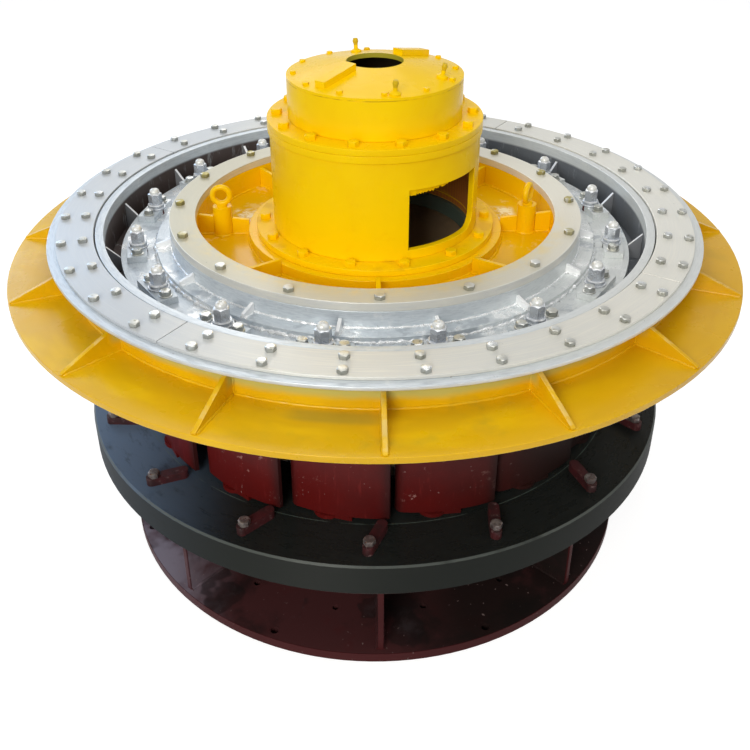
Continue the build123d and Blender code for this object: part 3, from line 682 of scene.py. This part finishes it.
def inner_primer():
    coat = Finish("inner_primer", (0.52, 0.36, 0.20), 0.42)
    coat.lay(coat.cloud(6.0, 0.42, 0.68, 5.0, 0.6), (0.36, 0.26, 0.15), 0.5, 0.8)
    coat.lay(coat.cloud(24.0, 0.56, 0.72, 4.0), (0.60, 0.40, 0.22), 0.4, 0.5)
    facing = coat.facing()
    ways = ((facing["X"], coat.x), (facing["Y"], coat.y))
    outward = coat.sum("ADD", *(coat.sum("MULTIPLY", *way) for way in ways))
    coat.lay(coat.step(outward, 0.0, 0.02), (0.11, 0.030, 0.024), 0.5)
    coat.grain(0.6, 50.0, 4.0)
    return coat.close(0.001, 0.4)


def bright_weld():
    coat = Finish("bright_weld", (0.90, 0.92, 0.93), 0.26)
    coat.lay(coat.cloud(60.0, 0.44, 0.64, 4.0), (0.70, 0.72, 0.74), 0.36, 0.6)
    coat.lay(coat.cloud(130.0, 0.64, 0.72, 2.0), (0.24, 0.24, 0.23), 0.55, 0.7)
    coat.grain(1.0, 120.0, 4.0, 0.65)
    return coat.close(0.0012, 0.6, metallic=0.4)


def worn_steel():
    coat = Finish("worn_steel", (0.16, 0.13, 0.125), 0.4)
    coat.lay(coat.cloud(60.0, 0.45, 0.65, 4.0), (0.42, 0.38, 0.36), 0.34, 0.75)
    coat.lay(coat.cloud(140.0, 0.58, 0.7), (0.10, 0.02, 0.02), 0.5, 0.8)
    coat.grain(0.5, 220.0)
    return coat.close(0.0005, 0.4, metallic=0.55)


def cap_white():
    coat = Finish("cap_white", (0.80, 0.81, 0.80), 0.35)
    coat.lay(coat.cloud(120.0, 0.5, 0.68), (0.60, 0.58, 0.50), 0.45, 0.6)
    coat.lay(coat.cloud(50.0, 0.6, 0.75), (0.45, 0.43, 0.30), 0.5, 0.5)
    coat.grain(0.5, 260.0)
    return coat.close(0.0005, 0.4, metallic=0.25)


def finish_called(name):
    if name not in bpy.data.materials:
        raise RuntimeError(f"the finish {name} is missing: lay the finishes first")
    return bpy.data.materials[name]


# Mesh tools


def spot(angle, radius, height):
    """A point so many degrees to the right of the front."""
    turn = math.radians(angle)
    return Vector((radius * math.sin(turn), -radius * math.cos(turn), height))


def stand(angle, radius, height, turn=0.0):
    """A pose on a ring, upright and turned about its own axis."""
    return Matrix.Translation(spot(angle, radius, height)) @ Matrix.Rotation(math.radians(turn), 4, "Z")


def corner_at(shape, pose, turn, radius, height):
    return shape.verts.new(pose @ Vector((radius * math.cos(turn), radius * math.sin(turn), height)))


def stack(shape, rings):
    """Closes rings of corners that lie one over the other, with a face at each end."""
    count = len(rings[0])
    for low, high in zip(rings, rings[1:]):
        for index in range(count):
            after = (index + 1) % count
            shape.faces.new((low[index], low[after], high[after], high[index]))
    shape.faces.new(list(reversed(rings[0])))
    shape.faces.new(rings[-1])


def lathe(shape, pose, profile, sides):
    """A turned solid from (radius, height) pairs, closed at both ends."""
    turns = [2.0 * math.pi * index / sides for index in range(sides)]
    stack(shape, [[corner_at(shape, pose, turn, *level) for turn in turns] for level in profile])


def hexagon(shape, pose, flats, height, low=0.0):
    """A hexagon head or nut with its corners turned off."""
    corner = flats / math.sqrt(3.0)
    chamfer = 0.11 * flats

    def ring(corner_radius, flat_radius, corner_height, flat_height):
        levels = ((corner_radius, corner_height), (flat_radius, flat_height))
        return [corner_at(shape, pose, math.pi * index / 6.0, *levels[index % 2]) for index in range(12)]

    high = low + height
    stack(shape, [
        ring(corner * 0.96, flats / 2, low, low),
        ring(corner, flats / 2, low + 0.3 * chamfer, low),
        ring(corner, flats / 2, high - chamfer * 0.75, high - chamfer * 0.22),
        ring(flats * 0.475, flats * 0.465, high - chamfer * 0.05, high - chamfer * 0.05),
        ring(flats * 0.43, flats * 0.43, high, high),
    ])


def loft(shape, rings, closed=False):
    """Joins rings of corners along a path, with a face at each end where it stays open."""
    count = len(rings[0])
    pairs = list(zip(rings, rings[1:]))
    if closed:
        pairs.append((rings[-1], rings[0]))
    for first, second in pairs:
        for side in range(count):
            after = (side + 1) % count
            shape.faces.new((first[side], second[side], second[after], first[after]))
    if not closed:
        shape.faces.new(rings[0])
        shape.faces.new(list(reversed(rings[-1])))


def bead(shape, path, size, draws, closed=False, lumps=0.28):
    """A weld bead along a path: each ring swells and wanders a little."""
    count = len(path)
    rings = []
    for index, point in enumerate(path):
        before = path[index - 1] if closed or index else path[0]
        after = path[(index + 1) % count] if closed or index < count - 1 else path[-1]
        along = (after - before).normalized()
        across = along.cross(Vector((0.0, 0.0, 1.0)))
        if across.length < 0.1:
            across = along.cross(Vector((1.0, 0.0, 0.0)))
        across.normalize()
        up = across.cross(along)
        girth = size * (1.0 + lumps * draws.uniform(-1.0, 1.0))
        wander = across * draws.uniform(-1.0, 1.0) + up * draws.uniform(-1.0, 1.0)
        centre = point + wander * size * lumps * 0.5
        ring = []
        for side in range(BEAD_SIDES):
            turn = 2.0 * math.pi * side / BEAD_SIDES
            ring.append(shape.verts.new(centre + (across * math.cos(turn) + up * math.sin(turn)) * girth))
        rings.append(ring)
    loft(shape, rings, closed)


def straight(start, end, spacing):
    """Points along a straight line."""
    count = max(2, int((end - start).length / spacing) + 1)
    return [start.lerp(end, index / (count - 1)) for index in range(count)]


def round_path(radius, height, spacing, start=0.0, span=360.0):
    """Points along a ring, or a part of one."""
    count = max(6, int(radius * math.radians(span) / spacing))
    last = count if span >= 360.0 else count - 1
    return [spot(start + span * index / last, radius, height) for index in range(count)]


def level_run(angle, reach, height, spacing):
    """The start and end of a level weld along a rib, and the spacing of its points."""
    near, far = (spot(angle, radius, height) for radius in reach)
    return near, far, spacing


def rib_welds(shape, angle, gap, runs, size, draws, **looks):
    """Beads on both sides of a rib, along each of its runs from start to end."""
    turn = math.radians(angle)
    aside = Vector((math.cos(turn), math.sin(turn), 0.0))
    for side in (-1.0, 1.0):
        offset = aside * gap * side
        for start, end, spacing in runs:
            bead(shape, [point + offset for point in straight(start, end, spacing)], size, draws, **looks)


def piece(name, shape, finish, body, smooth_angle=35.0):
    """Makes an object of the shape, with its finish, riding on a body."""
    bmesh.ops.recalc_face_normals(shape, faces=shape.faces)
    mesh = bpy.data.meshes.new(name)
    shape.to_mesh(mesh)
    shape.free()
    mesh.shade_smooth()
    mesh.set_sharp_from_angle(angle=math.radians(smooth_angle))
    mesh.materials.append(finish_called(finish))
    made = bpy.data.objects.new(name, mesh)
    bpy.context.scene.collection.objects.link(made)
    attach(made, body)
    return made


def bolts(name, places, flats, head, draws, finish, askew=0.0, washer=()):
    """One piece of like bolts at (angle, radius, height) places, each turned at random."""
    shape = bmesh.new()
    for angle, radius, height in places:
        if askew:
            angle += draws.uniform(-askew, askew)
        pose = stand(angle, radius, height, draws.uniform(0.0, HEAD_TURN))
        if washer:
            lathe(shape, pose, washer, 20)
        hexagon(shape, pose, flats, head, washer[-1][1] if washer else 0.0)
    piece(name, shape, finish, ROOT_BODY)


# Operators


class DISTRIBUTOR_OT_finishes(bpy.types.Operator):
    """Lays the finishes on the frame's own pieces and softens their edges"""

    bl_idname = "distributor.finishes"
    bl_label = "Finishes"

    def execute(self, context):
        colours = context.scene.distributor_colours
        sizes = context.scene.distributor_sizes
        worn_steel()
        cap_white()
        bright_weld()
        zinc_plate(colours)
        bright_zinc()
        oversprayed_zinc(colours)
        red = vane_red(colours)
        laid = {"bottom_ring": oiled_black(colours), "vane_stops": stop_maroon(), "hub_cone": inner_primer(),
                "cover_ribs": rib_silver()}
        for number in range(1, VANE_COUNT + 1):
            laid[f"guide_vane_{number:02d}"] = red
        for names, finish in (
            (YELLOW_TOWER, tower_yellow(colours)),
            (YELLOW_PAN, pan_yellow(colours)),
            (YELLOW_SUPPORT, support_yellow(colours)),
            (SILVER_COVER, silver_paint(colours)),
            (TURNED_RINGS, turned_steel(colours)),
            (MAROON_BASE, base_maroon(colours)),
        ):
            for name in names:
                laid[name] = finish
        missing = sorted(set(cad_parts) - set(laid))
        if missing:
            raise RuntimeError(f"no finish for {missing}")
        for name, finish in laid.items():
            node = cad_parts[name]
            node.data.materials.clear()
            node.data.materials.append(finish)
            if finish is red or name == "base_flange":
                continue
            joined = node.modifiers.new("joined_corners", "WELD")
            joined.merge_threshold = 0.00001
            soft = node.modifiers.new("soft_edges", "BEVEL")
            soft.width = sizes.soft_edge * (2.0 if name == "top_cover" else 1.0)
            soft.segments = 2
            soft.limit_method = "ANGLE"
            soft.angle_limit = math.radians(40.0)
            level = node.modifiers.new("level_faces", "WEIGHTED_NORMAL")
            level.keep_sharp = False
        return {"FINISHED"}


class DISTRIBUTOR_OT_clamp_bolts(bpy.types.Operator):
    """Sets the pairs of bolts in the clamp ring"""

    bl_idname = "distributor.clamp_bolts"
    bl_label = "Clamp bolts"

    def execute(self, context):
        flats = context.scene.distributor_sizes.clamp_bolt
        places = [
            (VANE_STEP * (0.25 + 0.5 * pair), radius, CLAMP_TOP)
            for pair in range(2 * VANE_COUNT) for radius in CLAMP_BOLT_RADII
        ]
        draws = random.Random(11)
        bolts("clamp_bolts", places, flats, 0.0088, draws, "zinc_plate", askew=0.25)
        return {"FINISHED"}


class DISTRIBUTOR_OT_pan_bolts(bpy.types.Operator):
    """Sets the bolts that hold the inner cover"""

    bl_idname = "distributor.pan_bolts"
    bl_label = "Inner cover bolts"

    def execute(self, context):
        flats = context.scene.distributor_sizes.pan_bolt
        places = [(VANE_STEP * index, PAN_BOLT_RADIUS, PAN_FLANGE_TOP) for index in range(VANE_COUNT)]
        draws = random.Random(12)
        bolts("pan_bolts", places, flats, 0.0092, draws, "oversprayed_zinc", askew=0.3)
        return {"FINISHED"}


class DISTRIBUTOR_OT_stem_nuts(bpy.types.Operator):
    """Puts a washer, a nut and a capped locknut on each vane stem"""

    bl_idname = "distributor.stem_nuts"
    bl_label = "Stem nuts"

    def execute(self, context):
        flats = context.scene.distributor_sizes.stem_nut
        washer = ((0.0212, 0.0), (0.0220, 0.0008), (0.0220, 0.0026), (0.0212, 0.0034))
        collar = ((0.0186, 0.0030), (0.0190, 0.0040), (0.0190, 0.0094), (0.0172, 0.0116))
        dome = (
            (0.0100, 0.0368), (0.0114, 0.0372), (0.0116, 0.0400), (0.0111, 0.0430), (0.0099, 0.0455),
            (0.0080, 0.0472), (0.0056, 0.0481), (0.0034, 0.0484), (0.0030, 0.0478), (0.0028, 0.0450),
        )
        draws = random.Random(13)
        for number in range(1, VANE_COUNT + 1):
            angle = VANE_STEP * (number - 0.5) + 90.0
            turn = draws.uniform(0.0, HEAD_TURN)
            shape = bmesh.new()
            foot = stand(angle, PITCH_RADIUS, BLOCK_TOP, turn)
            lathe(shape, foot, washer, 32)
            lathe(shape, foot, collar, 32)
            hexagon(shape, foot, flats, 0.0262, low=0.0112)
            piece(f"stem_nut_{number:02d}", shape, "bright_zinc", f"vane_{number:02d}")
            shape = bmesh.new()
            lathe(shape, foot, dome, 24)
            piece(f"stem_cap_{number:02d}", shape, "cap_white", f"vane_{number:02d}", 50.0)
        return {"FINISHED"}


class DISTRIBUTOR_OT_block_bolts(bpy.types.Operator):
    """Sets two bolts in each stem block"""

    bl_idname = "distributor.block_bolts"
    bl_label = "Stem block bolts"

    def execute(self, context):
        flats = context.scene.distributor_sizes.block_bolt
        washer = ((0.0128, 0.0), (0.0136, 0.0005), (0.0136, 0.0016), (0.0128, 0.0021))
        places = [
            (VANE_STEP * (index + 0.5) + side * 4.2, BLOCK_BOLT_RADIUS, BLOCK_TOP)
            for index in range(VANE_COUNT) for side in (-1.0, 1.0)
        ]
        draws = random.Random(14)
        bolts("block_bolts", places, flats, 0.0105, draws, "zinc_plate", washer=washer)
        return {"FINISHED"}


class DISTRIBUTOR_OT_stop_bolts(bpy.types.Operator):
    """Sets the bolts of the vane stops"""

    bl_idname = "distributor.stop_bolts"
    bl_label = "Vane stop bolts"

    def execute(self, context):
        flats = context.scene.distributor_sizes.stop_bolt
        places = [(VANE_STEP * index - 2.1, STOP_BOLT_RADIUS, STOP_TOP) for index in range(VANE_COUNT)]
        draws = random.Random(15)
        bolts("stop_bolts", places, flats, 0.012, draws, "worn_steel")
        return {"FINISHED"}


class DISTRIBUTOR_OT_tower_bolts(bpy.types.Operator):
    """Sets the painted bolts of the bearing housing, its cap and the top cover"""

    bl_idname = "distributor.tower_bolts"
    bl_label = "Bearing housing bolts"

    def execute(self, context):
        sizes = context.scene.distributor_sizes
        sunk = 0.001
        cover_seat = COVER_EDGE_TOP + COVER_SLOPE * (COVER_EDGE_RADIUS - COVER_BOLT_RADIUS) - sunk
        draws = random.Random(16)
        for name, count, start, radius, height, flats, head in (
            ("housing_bolts", 14, 0.5, HOUSING_BOLT_RADIUS, HOUSING_FOOT_TOP, sizes.tower_bolt, 0.011),
            ("cap_bolts", 14, 0.5, CAP_BOLT_RADIUS, CAP_FLANGE_TOP, sizes.tower_bolt, 0.011),
            ("cover_bolts", 12, 1.0 / 6.0, COVER_BOLT_RADIUS, cover_seat, sizes.cover_bolt, 0.0062),
        ):
            places = [(360.0 * (index + start) / count, radius, height) for index in range(count)]
            bolts(name, places, flats, head, draws, "tower_yellow")
        return {"FINISHED"}


class DISTRIBUTOR_OT_welds(bpy.types.Operator):
    """Runs the weld beads on the support ring, the pan, the head cover and the base"""

    bl_idname = "distributor.welds"
    bl_label = "Welds"

    def execute(self, context):
        size = context.scene.distributor_sizes.weld
        draws = random.Random(17)
        shape = bmesh.new()
        beside = 0.0045
        half = math.degrees(beside / SUPPORT_WALL_RADIUS)
        for index in range(VANE_COUNT):
            middle = VANE_STEP * index
            foot = round_path(SUPPORT_WALL_RADIUS, FLANGE_TOP, 0.007, middle + half, VANE_STEP - 2.0 * half)
            bead(shape, foot, size, draws)
            wall = [spot(middle, SUPPORT_WALL_RADIUS, FLANGE_TOP + rise) for rise in (0.0, 0.050)]
            runs = (level_run(middle, GUSSET_RUN, FLANGE_TOP, 0.007), (*wall, 0.007))
            rib_welds(shape, middle, beside, runs, size * 0.8, draws)
        piece("support_welds", shape, "support_yellow", ROOT_BODY, WELD_SMOOTH)

        shape = bmesh.new()
        for radius in (PAN_WALL_RADIUS, PAN_SEAT_RADIUS):
            bead(shape, round_path(radius, PAN_FLOOR_TOP, 0.008), size, draws, closed=True)
        (near, far), (before, after) = PAN_RIB_RUN, POST_GAP
        for index in range(8):
            middle = 45.0 * index
            at_post = index in (2, 6)
            reaches = ((near, before), (after, far)) if at_post else (PAN_RIB_RUN,)
            runs = [level_run(middle, reach, PAN_FLOOR_TOP, 0.007) for reach in reaches]
            rib_welds(shape, middle, 0.005, runs, size, draws)
        for side in (-1.0, 1.0):
            post = Vector((POST_REACH * side, 0.0, 0.0))
            ring = [point + post for point in round_path(POST_RADIUS, PAN_FLOOR_TOP, 0.007)]
            bead(shape, ring, size, draws, closed=True)
        piece("pan_welds", shape, "pan_yellow", ROOT_BODY, WELD_SMOOTH)

        shape = bmesh.new()
        inner, outer = LEDGE_RADII
        bead(shape, round_path(inner, LEDGE_TOP, 0.006), size * 0.9, draws, closed=True, lumps=0.4)
        bead(shape, round_path(outer, DECK_TOP + 0.001, 0.006), size * 1.3, draws, closed=True, lumps=0.6)
        for index in range(VANE_COUNT):
            middle = VANE_STEP * (index + 0.5) + 2.0
            run = level_run(middle, LEDGE_RIB_RUN, LEDGE_TOP, 0.005)
            rib_welds(shape, middle, 0.0035, (run,), size * 0.9, draws, lumps=0.5)
        piece("cover_welds", shape, "bright_weld", ROOT_BODY, WELD_SMOOTH)

        shape = bmesh.new()
        bead(shape, round_path(CHAMBER_RADIUS, BASE_FLANGE_TOP, 0.008), size * 1.3, draws, closed=True)
        for index in range(8):
            middle = 45.0 * index
            wall = [spot(middle, CHAMBER_RADIUS, height) for height in (BASE_FLANGE_TOP, CHAMBER_TOP)]
            runs = (level_run(middle, BASE_RIB_RUN, BASE_FLANGE_TOP, 0.008), (*wall, 0.009))
            rib_welds(shape, middle, 0.006, runs, size * 1.2, draws)
        piece("base_welds", shape, "base_maroon", ROOT_BODY, WELD_SMOOTH)
        return {"FINISHED"}


class DISTRIBUTOR_OT_window_edge(bpy.types.Operator):
    """Leaves the ragged flame-cut ledge and slag at the edge of the access window"""

    bl_idname = "distributor.window_edge"
    bl_label = "Window edge"

    def execute(self, context):
        draws = random.Random(18)
        middle = math.radians(41.6)
        outward = Vector((math.sin(middle), -math.cos(middle), 0.0))
        sideways = Vector((math.cos(middle), math.sin(middle), 0.0))
        top, sill = 0.893, 0.761
        left, width, right = -0.0965, 0.118, 0.0962
        outside, inside = 0.2265, 0.2155

        def on_wall(radius, reach, height):
            level = Vector((0.0, 0.0, height))
            return outward * math.sqrt(radius * radius - reach * reach) + sideways * reach + level

        shape = bmesh.new()
        rings = []
        count = 46
        for index in range(count):
            share = index / (count - 1)
            reach = left + width * share
            drop = 0.0135 * (1.0 - share) ** 0.6 + 0.0028 * draws.uniform(-0.6, 1.0)
            if index % 9 == 4:
                drop += 0.003
            outer = 0.2225 + 0.0012 * draws.uniform(-1.0, 1.0)
            drop = max(drop, 0.0012)
            rings.append([
                shape.verts.new(on_wall(outside, reach, top + 0.0015)),
                shape.verts.new(on_wall(outer, reach, top - drop * 0.35)),
                shape.verts.new(on_wall(outer - 0.003, reach, top - drop)),
                shape.verts.new(on_wall(inside + 0.001, reach, top - drop * 0.85)),
                shape.verts.new(on_wall(inside, reach, top + 0.0015)),
            ])
        loft(shape, rings)
        heights = [sill + 0.036 + 0.094 * index / 26.0 for index in range(27)]
        rough = [on_wall(outside - 0.0003, right, height) for height in heights]
        bead(shape, rough, 0.0014, draws, lumps=0.7)
        piece("window_slag", shape, "tower_yellow", ROOT_BODY, 60.0)
        return {"FINISHED"}


class DISTRIBUTOR_OT_stage(bpy.types.Operator):
    """Sets a plain pale floor, soft light and the camera"""

    bl_idname = "distributor.stage"
    bl_label = "Stage"

    def execute(self, context):
        scene = context.scene
        stage = scene.distributor_stage
        scene.view_settings.view_transform = "Standard"
        self.lay_floor(scene)
        self.light_world(scene)
        for lamp in (
            ("window_light", (-3.1, 3.2, 2.4), 2.1, stage.window_power, (0.36, 0.62, 1.0)),
            ("key_light", (-1.8, -5.2, 3.2), 2.4, stage.key_power, (1.0, 0.97, 0.90)),
            ("overhead_light", (0.3, -0.4, 4.4), 3.0, stage.overhead_power, (1.0, 0.99, 0.96)),
            ("back_light", (-0.5, 4.4, 3.9), 2.4, stage.back_power, (1.0, 0.99, 0.97)),
            ("fill_light", (3.2, -1.6, 2.4), 1.6, stage.fill_power, (1.0, 0.93, 0.82)),
        ):
            self.hang_lamp(scene, *lamp)
        camera = bpy.data.cameras.new("photo_camera")
        camera.sensor_width = 36.0
        camera.lens = stage.lens
        camera.shift_y = stage.shift
        camera.clip_end = 100.0
        holder = bpy.data.objects.new("photo_camera", camera)
        scene.collection.objects.link(holder)
        holder.location = spot(math.degrees(stage.camera_turn), stage.camera_distance, stage.camera_height)
        holder.rotation_euler = (math.pi / 2.0 - stage.camera_pitch, 0.0, stage.camera_turn)
        scene.camera = holder
        return {"FINISHED"}

    def seen(self, nodes):
        """1 for rays that show the background: straight from the camera, mirrored or passed through."""
        path = nodes.node("ShaderNodeLightPath").outputs
        mirrored = nodes.sum("MAXIMUM", path["Is Camera Ray"], path["Is Glossy Ray"])
        return nodes.sum("MAXIMUM", mirrored, path["Is Transmission Ray"])

    def lay_floor(self, scene):
        shape = bmesh.new()
        bmesh.ops.create_grid(shape, x_segments=2, y_segments=2, size=14.0)
        mesh = bpy.data.meshes.new("floor")
        shape.to_mesh(mesh)
        shape.free()
        floor = bpy.data.objects.new("floor", mesh)
        scene.collection.objects.link(floor)
        material = bpy.data.materials.new("pale_floor")
        material.use_nodes = True
        mesh.materials.append(material)
        nodes = Nodes(material.node_tree)
        shader = nodes.tree.nodes["Principled BSDF"]
        shader.inputs["Base Color"].default_value = (0.42, 0.42, 0.42, 1.0)
        shader.inputs["Roughness"].default_value = 0.9
        shader.inputs["Specular IOR Level"].default_value = 0.1
        place = nodes.node("ShaderNodeNewGeometry").outputs["Position"]
        reach = nodes.node("ShaderNodeVectorMath", Vector=place)
        reach.operation = "LENGTH"
        # The floor shows white round the base and keeps its own tone inside
        around = nodes.fade(reach.outputs["Value"], 0.595, 0.612, 0.0, 0.80, "LINEAR")
        strength = nodes.sum("MULTIPLY", self.seen(nodes), around)
        glow = nodes.node("ShaderNodeEmission", Color=(1.0, 1.0, 1.0, 1.0), Strength=strength)
        both = nodes.node("ShaderNodeAddShader")
        nodes.feed(both.inputs[0], shader.outputs[0])
        nodes.feed(both.inputs[1], glow.outputs[0])
        nodes.feed(nodes.tree.nodes["Material Output"].inputs["Surface"], both.outputs[0])

    def light_world(self, scene):
        world = bpy.data.worlds.new("pale_studio")
        scene.world = world
        world.use_nodes = True
        nodes = Nodes(world.node_tree)
        around = nodes.tree.nodes["Background"]
        around.inputs["Color"].default_value = (0.95, 0.97, 1.0, 1.0)
        around.inputs["Strength"].default_value = 0.40
        looking = nodes.node("ShaderNodeTexCoord").outputs["Generated"]
        way = nodes.node("ShaderNodeSeparateXYZ", Vector=looking).outputs
        roof = nodes.fade(way["Z"], 0.35, 0.65, 1.0, 0.35)
        side = nodes.fade(way["X"], -0.35, 0.35, 1.0, 0.75)
        straight_on = nodes.node("ShaderNodeLightPath").outputs["Is Camera Ray"]
        strength = nodes.sum("MAXIMUM", nodes.sum("MULTIPLY", roof, side), straight_on)
        shown = nodes.node("ShaderNodeBackground", Color=(1.0, 1.0, 1.0, 1.0), Strength=strength)
        mixed = nodes.node("ShaderNodeMixShader")
        for socket, value in zip(mixed.inputs, (self.seen(nodes), around.outputs[0], shown.outputs[0])):
            nodes.feed(socket, value)
        nodes.feed(nodes.tree.nodes["World Output"].inputs["Surface"], mixed.outputs[0])

    def hang_lamp(self, scene, name, place, size, power, colour):
        lamp = bpy.data.lights.new(name, "AREA")
        lamp.shape = "SQUARE"
        lamp.size = size
        lamp.energy = power
        lamp.color = colour
        holder = bpy.data.objects.new(name, lamp)
        scene.collection.objects.link(holder)
        holder.location = place
        holder.rotation_euler = (Vector((0.0, 0.0, 0.6)) - Vector(place)).to_track_quat("-Z", "Y").to_euler()


PIECE_OPERATORS = (
    DISTRIBUTOR_OT_finishes,
    DISTRIBUTOR_OT_clamp_bolts,
    DISTRIBUTOR_OT_pan_bolts,
    DISTRIBUTOR_OT_stem_nuts,
    DISTRIBUTOR_OT_block_bolts,
    DISTRIBUTOR_OT_stop_bolts,
    DISTRIBUTOR_OT_tower_bolts,
    DISTRIBUTOR_OT_welds,
    DISTRIBUTOR_OT_window_edge,
    DISTRIBUTOR_OT_stage,
)


class DISTRIBUTOR_PT_dressing(bpy.types.Panel):
    """Lists the sizes, the colours and the steps of the dressing"""

    bl_idname = "DISTRIBUTOR_PT_dressing"
    bl_label = "Distributor"
    bl_space_type = "VIEW_3D"
    bl_region_type = "UI"
    bl_category = "Distributor"

    def draw(self, context):
        for setting, _ in SETTINGS:
            group = getattr(context.scene, setting)
            column = self.layout.column()
            for name in group.__annotations__:
                column.prop(group, name)
        for operator in PIECE_OPERATORS:
            self.layout.operator(operator.bl_idname)


SETTINGS = (
    ("distributor_sizes", DistributorSizes),
    ("distributor_colours", DistributorColours),
    ("distributor_stage", DistributorStage),
)


def register():
    for name, group in SETTINGS:
        bpy.utils.register_class(group)
        setattr(bpy.types.Scene, name, bpy.props.PointerProperty(type=group))
    for operator in PIECE_OPERATORS:
        bpy.utils.register_class(operator)
    bpy.utils.register_class(DISTRIBUTOR_PT_dressing)


def unregister():
    bpy.utils.unregister_class(DISTRIBUTOR_PT_dressing)
    for operator in reversed(PIECE_OPERATORS):
        bpy.utils.unregister_class(operator)
    for name, group in reversed(SETTINGS):
        delattr(bpy.types.Scene, name)
        bpy.utils.unregister_class(group)


def main():
    register()
    bpy.ops.distributor.stage()
    bpy.ops.distributor.finishes()
    bpy.ops.distributor.clamp_bolts()
    bpy.ops.distributor.pan_bolts()
    bpy.ops.distributor.stem_nuts()
    bpy.ops.distributor.block_bolts()
    bpy.ops.distributor.stop_bolts()
    bpy.ops.distributor.tower_bolts()
    bpy.ops.distributor.welds()
    bpy.ops.distributor.window_edge()


if __name__ == "__main__":
    main()
